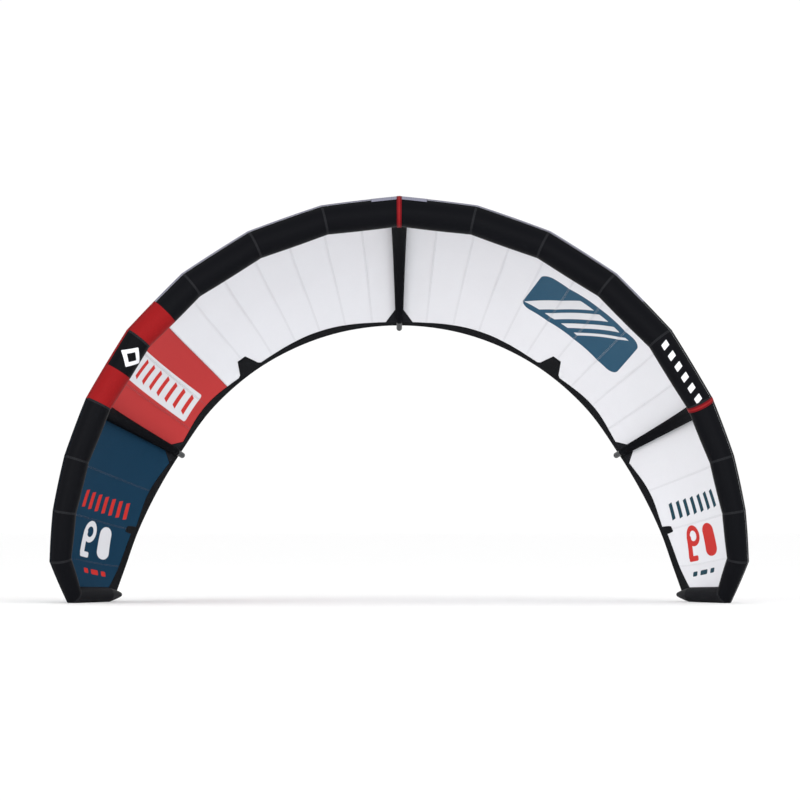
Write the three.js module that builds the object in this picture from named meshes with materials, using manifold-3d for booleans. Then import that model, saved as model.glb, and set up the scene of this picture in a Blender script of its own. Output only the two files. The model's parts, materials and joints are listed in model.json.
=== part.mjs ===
import * as THREE from 'three';
import Module from 'manifold-3d';

// A nine square metre kitesurfing kite with an inflated leading edge and three struts.
// It stands on its two wing tips. Sizes are in mm, +Z is up and +Y is the rear of the kite.

// Cloth and fit
const CLOTH = 1.5;
const GAP = 0.3;
const TRIM = 1.0;
const TRIM_GAP = 1.0;

// Leading edge tube
const TUBE_SIDES = 24;
const TUBE_BULGE = 2.5;
const HEM_ANGLE = 27.5;
const SIDE_STEP = 360 / TUBE_SIDES;
const TIP_SEAT_ANGLE = HEM_ANGLE - 5 * SIDE_STEP;

// Tapered end of the tip tube, as lengths past its last ring and shares of its radius
const TIP_TAPER = [
  { length: 50, radius: 0.79 },
  { length: 105, radius: 0.52 },
  { length: 146, radius: 0.26 },
];

// The canopy's last edge runs past the tube's last ring and comes closer to its axis
const TIP_CLOTH_PAST = 140;
const TIP_CLOTH_DROP = 0.3;
const TIP_SEAT_ROWS = 9;

// Canopy section
const WRAP_ROWS = 3;
const SAIL_ROWS = 15;
const ROW_EASING = 1.1;
const STATIONS_PER_SEGMENT = 4;
const NOSE_REACH = 0.36;
const TAIL_REACH = 0.34;
const TAIL_SLOPE = 0.24;
const BILLOW = 5;
const HALF_PANEL_STATIONS = 5;

// Struts
const STRUT_SIDES = 16;
const STRUT_END = 0.955;
const STRUT_GAP = 0.5;
const SLOPE_STEP = 0.01;
const TAIL_OVERHANG = 20;
const TAIL_DIAMETER = 34;
const TAIL_DROP = 1;
const TAIL_START_GAP = 1.5;
const TAIL_END_STEPS = 4;
const TAIL_END_ANGLE = 78;

// Strut patches, with lengths as shares of the sail's curve and widths in stations
const PATCH_START = 0.912;
const PATCH_FRONT_WIDTH = 0.07;
const PATCH_REAR_WIDTH = 0.25;
const PATCH_HOLD_BACK = 0.002;
const PATCH_COLUMNS = 4;
const PATCH_STEPS = 4;
const RAMP_START = 0.81;
const RAMP_LENGTH = 0.08;

// Trailing edge band
const BAND_WIDTH = 32;
const BAND_SWELL = 34;
const BAND_TIP_WIDTH = 50;
const BAND_TIP_GROWTH = 30;
const BAND_TIP_POWER = 3;
const BAND_SAME_STATION = 0.02;
const EDGE_SHARE = 0.97;
const BAND_BACK_WIDTH = 34;
const BAND_LAST_STATION = 8.9;
const BAND_LEAF_STEPS = 4;
const BAND_ANCHORS = [0, 3, 5, 7, 9];

// Rings round the tube, each with the distance that its front is pulled towards the tip
const RING_WIDTH = 28;
const RING_GAP = 0.9;
const CENTRE_RING_PULL = 0;
const RIGHT_RING_PULL = 22;
const RING_FIRST_SIDE = 1;
const RING_LAST_SIDE = -11;

// One row for each seam of the leading edge, from the centre to the tube's end.
// x, y and z are the tube's axis, and tailX, tailY and tailZ the trailing edge behind it.
const SEAMS = [
  { x: 0, y: 0, z: 2198, tube: 168, tailX: 0, tailY: 1685, tailZ: 1651.5 },
  { x: 420, y: -10, z: 2149, tube: 166, tailX: 321, tailY: 1660, tailZ: 1616.5 },
  { x: 812, y: -45, z: 2007, tube: 165, tailX: 616, tailY: 1593, tailZ: 1516.5 },
  { x: 1165, y: -100, z: 1777, tube: 162, tailX: 889, tailY: 1482, tailZ: 1353 },
  { x: 1457, y: -155, z: 1473, tube: 155, tailX: 1128, tailY: 1341, tailZ: 1125 },
  { x: 1675, y: -190, z: 1108, tube: 148, tailX: 1308, tailY: 1166, tailZ: 852 },
  { x: 1793, y: -205, z: 799, tube: 139, tailX: 1432, tailY: 995, tailZ: 622 },
  { x: 1859, y: -205, z: 507, tube: 129, tailX: 1524, tailY: 790, tailZ: 397 },
  { x: 1883, y: -175, z: 241, tube: 118, tailX: 1579, tailY: 565, tailZ: 196 },
  { x: 1816, y: -98, z: 43.5, tube: 94, tailX: 0, tailY: 0, tailZ: 0 },
  { x: 1655, y: 214.5, z: 39.9, tube: 85.2, tailX: 0, tailY: 0, tailZ: 0 },
];
const TIP = SEAMS.length - 2;
const END = SEAMS.length - 1;

// One row for each strut, with the seam it stands behind
const STRUTS = [
  { name: 'centre', seam: 0, side: 0, front: 110, rear: 46 },
  { name: 'right', seam: 5, side: 1, front: 104, rear: 45 },
  { name: 'left', seam: 5, side: -1, front: 104, rear: 45 },
];

// One row for each batten patch of the trailing edge band, with its half widths in stations
const BATTENS = [
  { seam: 3, depth: 175, base: 0.25, top: 0.08 },
  { seam: 7, depth: 108, base: 0.1, top: 0.08 },
];

// One row for each cloth or tube colour
const FINISHES = {
  tube: { color: '#15181c', roughness: 0.55 },
  white: { color: '#e3e5ea', roughness: 0.6 },
  red: { color: '#b23338', roughness: 0.6 },
  teal: { color: '#1e3a50', roughness: 0.6 },
  grey: { color: '#8d9096', roughness: 0.6 },
  trim: { color: '#1b1e22', roughness: 0.7 },
  ring: { color: '#a82428', roughness: 0.6 },
};

// One row for each canopy panel, from the centre to the tip
const PANELS = [
  { from: 0, to: 0.5, right: 'white', left: 'white' },
  { from: 0.5, to: 1, right: 'white', left: 'white' },
  { from: 1, to: 1.5, right: 'white', left: 'white' },
  { from: 1.5, to: 2, right: 'white', left: 'white' },
  { from: 2, to: 2.5, right: 'white', left: 'white' },
  { from: 2.5, to: 3, right: 'white', left: 'white' },
  { from: 3, to: 3.5, right: 'white', left: 'white' },
  { from: 3.5, to: 4, right: 'white', left: 'red' },
  { from: 4, to: 4.5, right: 'white', left: 'red' },
  { from: 4.5, to: 5, right: 'white', left: 'red' },
  { from: 5, to: 6, right: 'white', left: 'teal' },
  { from: 6, to: 7, right: 'white', left: 'teal' },
  { from: 7, to: 8, right: 'white', left: 'teal' },
  { from: 8, to: 9, right: 'white', left: 'teal' },
];

const wasm = await Module();
wasm.setup();

function vec(x, y, z) {
  return new THREE.Vector3(x, y, z);
}

function mix(a, b, share) {
  return a.clone().lerp(b, share);
}

function radians(degrees) {
  return degrees * Math.PI / 180;
}

// Tube frames
const axisPoints = SEAMS.map((row) => vec(row.x, row.y, row.z));
const segmentDirs = axisPoints.slice(1).map((point, i) => point.clone().sub(axisPoints[i]).normalize());
const seamNormals = axisPoints.map((point, i) => seamNormal(i));
const segmentFrames = buildFrames();

function seamNormal(i) {
  if (i === 0) {
    return vec(1, 0, 0);
  }
  if (i === END) {
    return segmentDirs[END - 1].clone();
  }
  return segmentDirs[i - 1].clone().add(segmentDirs[i]).normalize();
}

// The outward direction is carried from segment to segment by mirroring it in each mitre
function buildFrames() {
  const frames = [];
  let out = vec(0, 0, 1);
  for (let i = 0; i < END; i += 1) {
    const dir = segmentDirs[i];
    if (i > 0) {
      const normal = seamNormals[i];
      out = out.clone().addScaledVector(normal, -2 * out.dot(normal));
    }
    out = out.clone().addScaledVector(dir, -out.dot(dir)).normalize();
    frames.push({ out, front: dir.clone().cross(out) });
  }
  return frames;
}

// A point round the tube, at an angle counted from its outer side towards its front
function seamPoint(i, angle, extra) {
  const segment = Math.min(i, END - 1);
  const frame = segmentFrames[segment];
  const dir = segmentDirs[segment];
  const normal = seamNormals[i];
  const radial = frame.out.clone().multiplyScalar(Math.cos(radians(angle)));
  radial.addScaledVector(frame.front, Math.sin(radians(angle)));
  radial.addScaledVector(dir, -radial.dot(normal) / dir.dot(normal));
  return axisPoints[i].clone().addScaledVector(radial, SEAMS[i].tube / 2 + extra);
}

function middlePoint(i, angle, extra) {
  const frame = segmentFrames[i];
  const bulge = i === END - 1 ? 0 : TUBE_BULGE;
  const radius = (SEAMS[i].tube + SEAMS[i + 1].tube) / 4 + bulge + extra;
  const point = mix(axisPoints[i], axisPoints[i + 1], 0.5);
  point.addScaledVector(frame.out, radius * Math.cos(radians(angle)));
  point.addScaledVector(frame.front, radius * Math.sin(radians(angle)));
  return point;
}

function tubePoint(station, angle, extra) {
  const seam = Math.min(Math.floor(station), END - 1);
  const share = station - seam;
  if (share <= 0.5) {
    return mix(seamPoint(seam, angle, extra), middlePoint(seam, angle, extra), share * 2);
  }
  return mix(middlePoint(seam, angle, extra), seamPoint(seam + 1, angle, extra), share * 2 - 1);
}

// The outward direction turns evenly from each seam to the next
function outAt(station) {
  const seam = Math.min(Math.floor(station), END - 1);
  return mix(seamOut(seam), seamOut(seam + 1), station - seam);
}

function seamOut(seam) {
  if (seam === 0) {
    return vec(0, 0, 1);
  }
  const before = segmentFrames[seam - 1].out;
  const after = segmentFrames[Math.min(seam, END - 1)].out;
  return before.clone().add(after).normalize();
}

function sideAngle(side) {
  return HEM_ANGLE - side * SIDE_STEP;
}

function onFloor(point) {
  point.z = Math.max(point.z, 0);
  return point;
}

// Trailing edge
function tailPoint(seam) {
  if (seam < 0) {
    const mirrored = tailPoint(-seam);
    mirrored.x = -mirrored.x;
    return mirrored;
  }
  if (seam >= TIP) {
    return tipClothCorner();
  }
  return vec(SEAMS[seam].tailX, SEAMS[seam].tailY, SEAMS[seam].tailZ);
}

function tipClothCorner() {
  const seat = seamPoint(END, TIP_SEAT_ANGLE, GAP);
  const lowered = mix(seat, axisPoints[END], TIP_CLOTH_DROP);
  return lowered.addScaledVector(segmentDirs[END - 1], TIP_CLOTH_PAST);
}

function tailCurve(station) {
  const seam = Math.min(Math.floor(station), TIP - 1);
  const t = station - seam;
  const p0 = tailPoint(seam - 1);
  const p1 = tailPoint(seam);
  const p2 = tailPoint(seam + 1);
  const p3 = seam + 2 > TIP ? p2.clone().multiplyScalar(2).sub(p1) : tailPoint(seam + 2);
  const point = p1.clone().multiplyScalar(2);
  point.addScaledVector(p2.clone().sub(p0), t);
  const square = p0.clone().multiplyScalar(2).addScaledVector(p1, -5).addScaledVector(p2, 4).sub(p3);
  point.addScaledVector(square, t * t);
  const cube = p3.clone().sub(p0).addScaledVector(p1, 3).addScaledVector(p2, -3);
  point.addScaledVector(cube, t * t * t);
  return point.multiplyScalar(0.5);
}

function bezier(p0, p1, p2, p3, t) {
  const s = 1 - t;
  const point = p0.clone().multiplyScalar(s * s * s);
  point.addScaledVector(p1, 3 * s * s * t);
  point.addScaledVector(p2, 3 * s * t * t);
  point.addScaledVector(p3, t * t * t);
  return point;
}

// Billow of a panel between its two seams, in shares of its full depth
function billowShare(station) {
  const width = station < HALF_PANEL_STATIONS ? 0.5 : 1;
  const share = (station % width) / width;
  return 4 * share * (1 - share);
}

// One station of the canopy's inner face: three rows on the tube, then the sail's curve
function sailStation(station) {
  const points = [];
  for (let side = 0; side < WRAP_ROWS; side += 1) {
    points.push(tubePoint(station, sideAngle(side), GAP));
  }
  const leave = points[WRAP_ROWS - 1];
  const nose = tubePoint(station, sideAngle(WRAP_ROWS), GAP);
  nose.sub(tubePoint(station, sideAngle(WRAP_ROWS - 2), GAP)).normalize();
  const tail = tailCurve(station);
  const chord = tail.clone().sub(leave);
  const length = chord.length();
  chord.normalize();
  const up = outAt(station);
  up.addScaledVector(chord, -up.dot(chord)).normalize();
  const back = chord.clone().negate().addScaledVector(up, TAIL_SLOPE).normalize();
  const p1 = leave.clone().addScaledVector(nose, NOSE_REACH * length);
  const p2 = tail.clone().addScaledVector(back, TAIL_REACH * length);
  for (let row = 1; row <= SAIL_ROWS; row += 1) {
    const t = sailShare(row);
    const point = bezier(leave, p1, p2, tail, t);
    point.addScaledVector(up, BILLOW * billowShare(station) * Math.sin(Math.PI * t));
    points.push(point);
  }
  return points;
}

function sailShare(row) {
  return Math.pow(row / SAIL_ROWS, ROW_EASING);
}

// The last station follows the tube round the corner and then runs along the tip tube
function tipStation() {
  const points = [];
  for (let side = 0; side <= 5; side += 1) {
    points.push(seamPoint(TIP, sideAngle(side), GAP));
  }
  const from = points[5].clone();
  const seat = seamPoint(END, TIP_SEAT_ANGLE, GAP);
  const to = tipClothCorner();
  const pastRows = WRAP_ROWS + SAIL_ROWS - points.length - TIP_SEAT_ROWS;
  for (let row = 1; row <= TIP_SEAT_ROWS; row += 1) {
    points.push(mix(from, seat, row / TIP_SEAT_ROWS));
  }
  for (let row = 1; row <= pastRows; row += 1) {
    points.push(mix(seat, to, row / pastRows));
  }
  return points;
}

function buildInnerGrid() {
  const grid = [];
  const count = TIP * STATIONS_PER_SEGMENT;
  const last = tipStation();
  const before = sailStation(TIP - 1);
  for (let j = 0; j <= count; j += 1) {
    const station = j / STATIONS_PER_SEGMENT;
    if (station <= TIP - 1) {
      grid.push(sailStation(station));
    } else if (station < TIP) {
      grid.push(lastPanelStation(station, before, last));
    } else {
      grid.push(last);
    }
  }
  return grid;
}

function lastPanelStation(station, before, last) {
  const share = station - (TIP - 1);
  return before.map((point, row) => {
    if (row < WRAP_ROWS) {
      return tubePoint(station, sideAngle(row), GAP);
    }
    return mix(point, last[row], share);
  });
}

const innerGrid = buildInnerGrid();
const normalGrid = innerGrid.map((points, j) => points.map((point, i) => gridNormal(j, i)));

function gridNormal(j, i) {
  const rows = innerGrid[j].length;
  const ahead = innerGrid[j][Math.min(i + 1, rows - 1)];
  const behind = innerGrid[j][Math.max(i - 1, 0)];
  const chord = ahead.clone().sub(behind);
  const across = gridAcross(j, i);
  return across.cross(chord).normalize();
}

function gridAcross(j, i) {
  if (j === 0) {
    return vec(1, 0, 0);
  }
  const next = innerGrid[Math.min(j + 1, innerGrid.length - 1)][i];
  return next.clone().sub(innerGrid[j - 1][i]);
}

// A point of the canopy, off its inner face by the given distance
function sailPoint(station, t, off) {
  const column = Math.min(station * STATIONS_PER_SEGMENT, innerGrid.length - 1.001);
  const j = Math.floor(column);
  const row = WRAP_ROWS - 1 + SAIL_ROWS * Math.pow(t, 1 / ROW_EASING);
  const i = Math.min(Math.floor(row), WRAP_ROWS + SAIL_ROWS - 2);
  const point = gridMix(innerGrid, j, i, column - j, row - i);
  const normal = gridMix(normalGrid, j, i, column - j, row - i).normalize();
  return { point: point.clone().addScaledVector(normal, off), normal };
}

function gridMix(grid, j, i, u, v) {
  const near = mix(grid[j][i], grid[j][i + 1], v);
  const far = mix(grid[j + 1][i], grid[j + 1][i + 1], v);
  return mix(near, far, u);
}

// Closed solids
function solidFrom(points, faces) {
  const geometry = new THREE.BufferGeometry();
  const flat = [];
  points.forEach((p) => flat.push(p.x, p.y, p.z));
  geometry.setAttribute('position', new THREE.Float32BufferAttribute(flat, 3));
  geometry.setIndex(faces.flat());
  geometry.computeVertexNormals();
  return geometry;
}

// Rings of equal length, joined in order and closed at both ends
function loft(rings) {
  const points = rings.flat();
  const size = rings[0].length;
  const faces = [];
  for (let r = 0; r < rings.length - 1; r += 1) {
    for (let s = 0; s < size; s += 1) {
      const a = r * size + s;
      const b = r * size + (s + 1) % size;
      faces.push([a, b, b + size], [a, b + size, a + size]);
    }
  }
  const last = (rings.length - 1) * size;
  for (let s = 1; s < size - 1; s += 1) {
    faces.push([0, s + 1, s], [last, last + s, last + s + 1]);
  }
  return outward(solidFrom(points, faces));
}

// A sheet between two grids of the same size
function sheet(inner, outer) {
  const rows = inner[0].length;
  const columns = inner.length;
  const points = inner.flat().concat(outer.flat());
  const shift = rows * columns;
  const faces = [];
  for (let j = 0; j < columns - 1; j += 1) {
    for (let i = 0; i < rows - 1; i += 1) {
      const a = j * rows + i;
      faces.push([a, a + rows, a + rows + 1], [a, a + rows + 1, a + 1]);
      faces.push([a + shift, a + rows + 1 + shift, a + rows + shift]);
      faces.push([a + shift, a + 1 + shift, a + rows + 1 + shift]);
    }
  }
  rimOf(rows, columns).forEach(([a, b]) => {
    faces.push([a, a + shift, b + shift], [a, b + shift, b]);
  });
  return outward(solidFrom(points, faces));
}

function rimOf(rows, columns) {
  const path = [];
  for (let j = 0; j < columns - 1; j += 1) {
    path.push(j * rows);
  }
  for (let i = 0; i < rows - 1; i += 1) {
    path.push((columns - 1) * rows + i);
  }
  for (let j = columns - 1; j > 0; j -= 1) {
    path.push(j * rows + rows - 1);
  }
  for (let i = rows - 1; i > 0; i -= 1) {
    path.push(i);
  }
  return path.map((a, n) => [a, path[(n + 1) % path.length]]);
}

function signedVolume(geometry) {
  const position = geometry.getAttribute('position');
  const index = geometry.getIndex().array;
  const a = vec(0, 0, 0);
  const b = vec(0, 0, 0);
  const c = vec(0, 0, 0);
  let total = 0;
  for (let n = 0; n < index.length; n += 3) {
    a.fromBufferAttribute(position, index[n]);
    b.fromBufferAttribute(position, index[n + 1]);
    c.fromBufferAttribute(position, index[n + 2]);
    total += a.dot(b.cross(c)) / 6;
  }
  return total;
}

function flipped(geometry) {
  const index = Array.from(geometry.getIndex().array);
  for (let n = 0; n < index.length; n += 3) {
    const keep = index[n + 1];
    index[n + 1] = index[n + 2];
    index[n + 2] = keep;
  }
  geometry.setIndex(index);
  geometry.computeVertexNormals();
  return geometry;
}

function outward(geometry) {
  return signedVolume(geometry) < 0 ? flipped(geometry) : geometry;
}

function mirrored(geometry) {
  const copy = geometry.clone();
  copy.scale(-1, 1, 1);
  return outward(copy);
}

function toManifold(geometry) {
  const mesh = new wasm.Mesh({
    numProp: 3,
    vertProperties: new Float32Array(geometry.getAttribute('position').array),
    triVerts: new Uint32Array(geometry.getIndex().array),
  });
  return new wasm.Manifold(mesh);
}

function fromManifold(body) {
  const mesh = body.getMesh();
  const geometry = new THREE.BufferGeometry();
  geometry.setAttribute('position', new THREE.BufferAttribute(new Float32Array(mesh.vertProperties), 3));
  geometry.setIndex(Array.from(mesh.triVerts));
  geometry.computeVertexNormals();
  return geometry;
}

// Leading edge segment, with each end held back from its seam by half the gap
function tubeRing(station, extra, inset) {
  const seam = Math.min(Math.floor(station), END - 1);
  const dir = inset < 0 ? segmentDirs[Math.max(Math.ceil(station) - 1, 0)] : segmentDirs[seam];
  const normal = seamNormals[Math.round(station)];
  const ring = [];
  for (let side = 0; side < TUBE_SIDES; side += 1) {
    const point = tubePoint(station, sideAngle(side), extra);
    ring.push(onFloor(point.addScaledVector(dir, inset / dir.dot(normal))));
  }
  return ring;
}

function tubeSegment(number, extra) {
  const half = GAP / 2 - extra;
  const rings = [tubeRing(number, extra, half), tubeRing(number + 0.5, extra, 0)];
  rings.push(tubeRing(number + 1, extra, -half));
  if (number === END - 1) {
    TIP_TAPER.forEach((row) => rings.push(tipTaperRing(row.length, row.radius)));
  }
  return loft(rings);
}

function tipTaperRing(length, ratio) {
  const centre = axisPoints[END];
  return tubeRing(END, 0, 0).map((point) => {
    const moved = mix(centre, point, ratio);
    return moved.addScaledVector(segmentDirs[END - 1], length);
  });
}

// Canopy panel
function canopyPanel(panel) {
  const first = Math.round(panel.from * STATIONS_PER_SEGMENT);
  const last = Math.round(panel.to * STATIONS_PER_SEGMENT);
  const inner = [];
  const outer = [];
  for (let j = first; j <= last; j += 1) {
    const low = innerGrid[j].map((point, i) => point.clone().add(seamInset(j, i, first, last)));
    inner.push(low);
    outer.push(low.map((point, i) => point.clone().addScaledVector(normalGrid[j][i], CLOTH)));
  }
  return sheet(inner, outer);
}

function seamInset(j, i, first, last) {
  if (j !== first && j !== last) {
    return vec(0, 0, 0);
  }
  const next = j === first ? j + 1 : j - 1;
  return innerGrid[next][i].clone().sub(innerGrid[j][i]).setLength(GAP / 2);
}

// Strut under the canopy, with its front end cut to the tube
function strutRadius(strut, t) {
  return (strut.front + (strut.rear - strut.front) * t / STRUT_END) / 2;
}

function strutClearance(t) {
  const raised = TRIM_GAP + TRIM + GAP;
  const ramp = Math.min(Math.max((t - RAMP_START) / RAMP_LENGTH, 0), 1);
  return STRUT_GAP + (raised - STRUT_GAP) * ramp;
}

function strutAxis(strut, t) {
  const top = sailPoint(strut.seam, t, 0);
  const depth = strutClearance(t) + strutRadius(strut, t);
  return { centre: top.point.addScaledVector(top.normal, -depth), normal: top.normal };
}

function roundRing(centre, dir, up, radius) {
  const side = dir.clone().cross(up).normalize();
  const top = side.clone().cross(dir).normalize();
  const ring = [];
  for (let s = 0; s < STRUT_SIDES; s += 1) {
    const angle = 2 * Math.PI * s / STRUT_SIDES;
    const point = centre.clone().addScaledVector(top, radius * Math.cos(angle));
    ring.push(point.addScaledVector(side, radius * Math.sin(angle)));
  }
  return ring;
}

function strutRing(strut, t) {
  const here = strutAxis(strut, t);
  const ahead = strutAxis(strut, Math.min(t + SLOPE_STEP, 1)).centre;
  const behind = strutAxis(strut, Math.max(t - SLOPE_STEP, 0)).centre;
  return roundRing(here.centre, ahead.sub(behind).normalize(), here.normal, strutRadius(strut, t));
}

function strutBody(strut) {
  const rings = [];
  for (let row = 0; row <= SAIL_ROWS; row += 1) {
    const t = sailShare(row);
    if (t < STRUT_END - SLOPE_STEP) {
      rings.push(strutRing(strut, t));
    }
  }
  rings.push(strutRing(strut, STRUT_END));
  const blank = toManifold(loft(rings));
  const cut = blank.subtract(tubeCutter(strut.seam));
  const pieces = cut.decompose();
  pieces.sort((a, b) => b.volume() - a.volume());
  return outward(fromManifold(pieces[0]));
}

// The tube round a seam, thicker by the gap
function tubeCutter(seam) {
  const after = tubeSegment(seam, GAP);
  const before = seam === 0 ? mirrored(after) : tubeSegment(seam - 1, GAP);
  return toManifold(after).add(toManifold(before));
}

function strutTail(strut) {
  const start = strutAxis(strut, STRUT_END);
  const tip = sailPoint(strut.seam, 1, 0);
  const depth = strutClearance(1) + TAIL_DIAMETER / 2 + TAIL_DROP;
  const end = tip.point.clone().addScaledVector(tip.normal, -depth);
  const dir = end.clone().sub(start.centre).normalize();
  end.addScaledVector(dir, TAIL_OVERHANG - TAIL_DIAMETER / 2);
  const from = start.centre.clone().addScaledVector(dir, TAIL_START_GAP);
  const rings = [roundRing(from, dir, start.normal, TAIL_DIAMETER / 2)];
  for (let step = 0; step <= TAIL_END_STEPS; step += 1) {
    const angle = radians(TAIL_END_ANGLE * step / TAIL_END_STEPS);
    const centre = end.clone().addScaledVector(dir, Math.sin(angle) * TAIL_DIAMETER / 2);
    rings.push(roundRing(centre, dir, start.normal, Math.cos(angle) * TAIL_DIAMETER / 2));
  }
  return loft(rings);
}

// Reinforcement between a strut and the cloth, wide at the trailing edge
function strutPatch(strut) {
  const inner = [];
  const outer = [];
  for (let column = 0; column <= PATCH_COLUMNS; column += 1) {
    const low = [];
    const high = [];
    for (let step = 0; step <= PATCH_STEPS; step += 1) {
      const share = step / PATCH_STEPS;
      const spread = PATCH_FRONT_WIDTH + (PATCH_REAR_WIDTH - PATCH_FRONT_WIDTH) * share;
      const station = strut.seam + spread * (2 * column / PATCH_COLUMNS - 1);
      const end = bandEdge(Math.abs(station)) - PATCH_HOLD_BACK;
      const t = PATCH_START + (end - PATCH_START) * share;
      low.push(signedSailPoint(station, t, -TRIM_GAP - TRIM));
      high.push(signedSailPoint(station, t, -TRIM_GAP));
    }
    inner.push(low);
    outer.push(high);
  }
  return sheet(inner, outer);
}

function signedSailPoint(station, t, off) {
  const point = sailPoint(Math.abs(station), t, off).point;
  if (station < 0) {
    point.x = -point.x;
  }
  return point;
}

// Trailing edge band
function chordLength(station) {
  return sailPoint(station, 0, 0).point.distanceTo(sailPoint(station, 1, 0).point);
}

// The band swells between its struts and battens, and flares at the end of the tip
function bandWidth(station) {
  const next = BAND_ANCHORS.findIndex((anchor) => anchor > station);
  const low = BAND_ANCHORS[next - 1];
  const share = (station - low) / (BAND_ANCHORS[next] - low);
  if (next === BAND_ANCHORS.length - 1) {
    return BAND_TIP_WIDTH + BAND_TIP_GROWTH * Math.pow(share, BAND_TIP_POWER);
  }
  return BAND_WIDTH + BAND_SWELL * Math.pow(Math.sin(Math.PI * share), 2);
}

function battenDepth(station) {
  let depth = 0;
  BATTENS.forEach((row) => {
    const away = Math.abs(station - row.seam);
    const share = Math.min(Math.max((row.base - away) / (row.base - row.top), 0), 1);
    depth = Math.max(depth, row.depth * share);
  });
  return depth;
}

function tailShareOf(width, station) {
  return 1 - width / (3 * TAIL_REACH * chordLength(station));
}

function bandEdge(station) {
  return tailShareOf(bandWidth(station), station);
}

function bandStations() {
  const stations = [];
  for (let j = 0; j / STATIONS_PER_SEGMENT < BAND_LAST_STATION; j += 1) {
    stations.push(j / STATIONS_PER_SEGMENT);
  }
  BATTENS.forEach((row) => {
    [-row.base, -row.top, row.top, row.base].forEach((off) => stations.push(row.seam + off));
  });
  stations.push(BAND_LAST_STATION);
  const sorted = stations.sort((a, b) => a - b);
  return sorted.filter((s, n) => n === 0 || s - sorted[n - 1] > BAND_SAME_STATION);
}

// The folded strip's section at one station: inner leaf, fold and outer leaf
function bandSection(station) {
  const wide = Math.max(bandWidth(station), battenDepth(station));
  const front = tailShareOf(wide, station);
  const back = tailShareOf(BAND_BACK_WIDTH, station);
  const ring = [];
  const leaf = BAND_LEAF_STEPS;
  for (let step = 0; step <= leaf; step += 1) {
    ring.push(sailPoint(station, front + (1 - front) * step / leaf, -TRIM_GAP - TRIM).point);
  }
  const edge = sailPoint(station, 1, 0);
  const away = edge.point.clone().sub(sailPoint(station, EDGE_SHARE, 0).point).normalize();
  ring[leaf].addScaledVector(away, TRIM_GAP + TRIM);
  ring.push(sailPoint(station, 1, CLOTH + TRIM_GAP + TRIM).point.addScaledVector(away, TRIM_GAP + TRIM));
  ring.push(sailPoint(station, back, CLOTH + TRIM_GAP + TRIM).point);
  ring.push(sailPoint(station, back, CLOTH + TRIM_GAP).point);
  ring.push(sailPoint(station, 1, CLOTH + TRIM_GAP).point.addScaledVector(away, TRIM_GAP));
  ring.push(sailPoint(station, 1, -TRIM_GAP).point.addScaledVector(away, TRIM_GAP));
  for (let step = leaf - 1; step >= 0; step -= 1) {
    ring.push(sailPoint(station, front + (1 - front) * step / leaf, -TRIM_GAP).point);
  }
  return ring;
}

function trailingBand() {
  const right = bandStations().map((station) => bandSection(station));
  const left = right.slice(1).reverse().map((ring) => ring.map((p) => vec(-p.x, p.y, p.z)));
  return bandLoft(left.concat(right));
}

// The band's section is hollow on one side, so its ends are closed leaf by leaf
function bandLoft(rings) {
  const size = rings[0].length;
  const faces = [];
  for (let r = 0; r < rings.length - 1; r += 1) {
    for (let s = 0; s < size; s += 1) {
      const a = r * size + s;
      const b = r * size + (s + 1) % size;
      faces.push([a, b, b + size], [a, b + size, a + size]);
    }
  }
  const last = (rings.length - 1) * size;
  for (let s = 0; s < size / 2 - 1; s += 1) {
    const a = s;
    const b = s + 1;
    const c = size - 2 - s;
    const d = size - 1 - s;
    faces.push([a, c, b], [a, d, c]);
    faces.push([last + a, last + b, last + c], [last + a, last + c, last + d]);
  }
  return outward(solidFrom(rings.flat(), faces));
}

// Red ring, open where the strut or the sail leaves the tube
function tubeCollar(seam, pull) {
  const low = GAP + CLOTH + RING_GAP;
  const high = low + CLOTH;
  const sections = [];
  for (let side = RING_FIRST_SIDE; side >= RING_LAST_SIDE; side -= 1) {
    const angle = sideAngle(side);
    const shift = pull * Math.sin(radians(angle));
    const lower = collarRow(seam, angle, low, shift);
    const upper = collarRow(seam, angle, high, shift);
    sections.push([lower[0], lower[1], lower[2], upper[2], upper[1], upper[0]]);
  }
  return loft(sections);
}

function collarRow(seam, angle, extra, shift) {
  const half = RING_WIDTH / 2;
  return [-half, 0, half].map((away) => alongTube(seam, away + shift, angle, extra));
}

// A point of the tube's surface, a distance along it from a seam
function alongTube(seam, away, angle, extra) {
  if (away < 0 && seam === 0) {
    const point = alongTube(seam, -away, angle, extra);
    point.x = -point.x;
    return point;
  }
  const other = away < 0 ? seam - 1 : seam + 1;
  const length = axisPoints[seam].distanceTo(axisPoints[other]);
  return tubePoint(seam + away / length, angle, extra);
}

function material(finish, name) {
  const row = FINISHES[finish];
  const made = new THREE.MeshStandardMaterial({ color: row.color, roughness: row.roughness, metalness: 0 });
  made.name = name;
  return made;
}

function addPiece(group, name, geometry, finish) {
  const mesh = new THREE.Mesh(geometry, material(finish, name));
  mesh.name = name;
  group.add(mesh);
}

function numbered(stem, number) {
  return stem + '_' + String(number).padStart(2, '0');
}

function addTubes(group) {
  for (let i = 0; i < END; i += 1) {
    const geometry = tubeSegment(i, 0);
    addPiece(group, numbered('le_tube_right', i + 1), geometry, 'tube');
    addPiece(group, numbered('le_tube_left', i + 1), mirrored(geometry), 'tube');
  }
}

function addCanopy(group) {
  PANELS.forEach((panel, i) => {
    const geometry = canopyPanel(panel);
    addPiece(group, numbered('canopy_right', i + 1), geometry, panel.right);
    addPiece(group, numbered('canopy_left', i + 1), mirrored(geometry), panel.left);
  });
}

function addStruts(group) {
  STRUTS.forEach((strut) => {
    const turn = strut.side < 0 ? mirrored : (geometry) => geometry;
    addPiece(group, 'strut_' + strut.name, turn(strutBody(strut)), 'tube');
    addPiece(group, 'strut_tail_' + strut.name, turn(strutTail(strut)), 'grey');
    addPiece(group, 'strut_patch_' + strut.name, turn(strutPatch(strut)), 'trim');
  });
}

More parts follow.
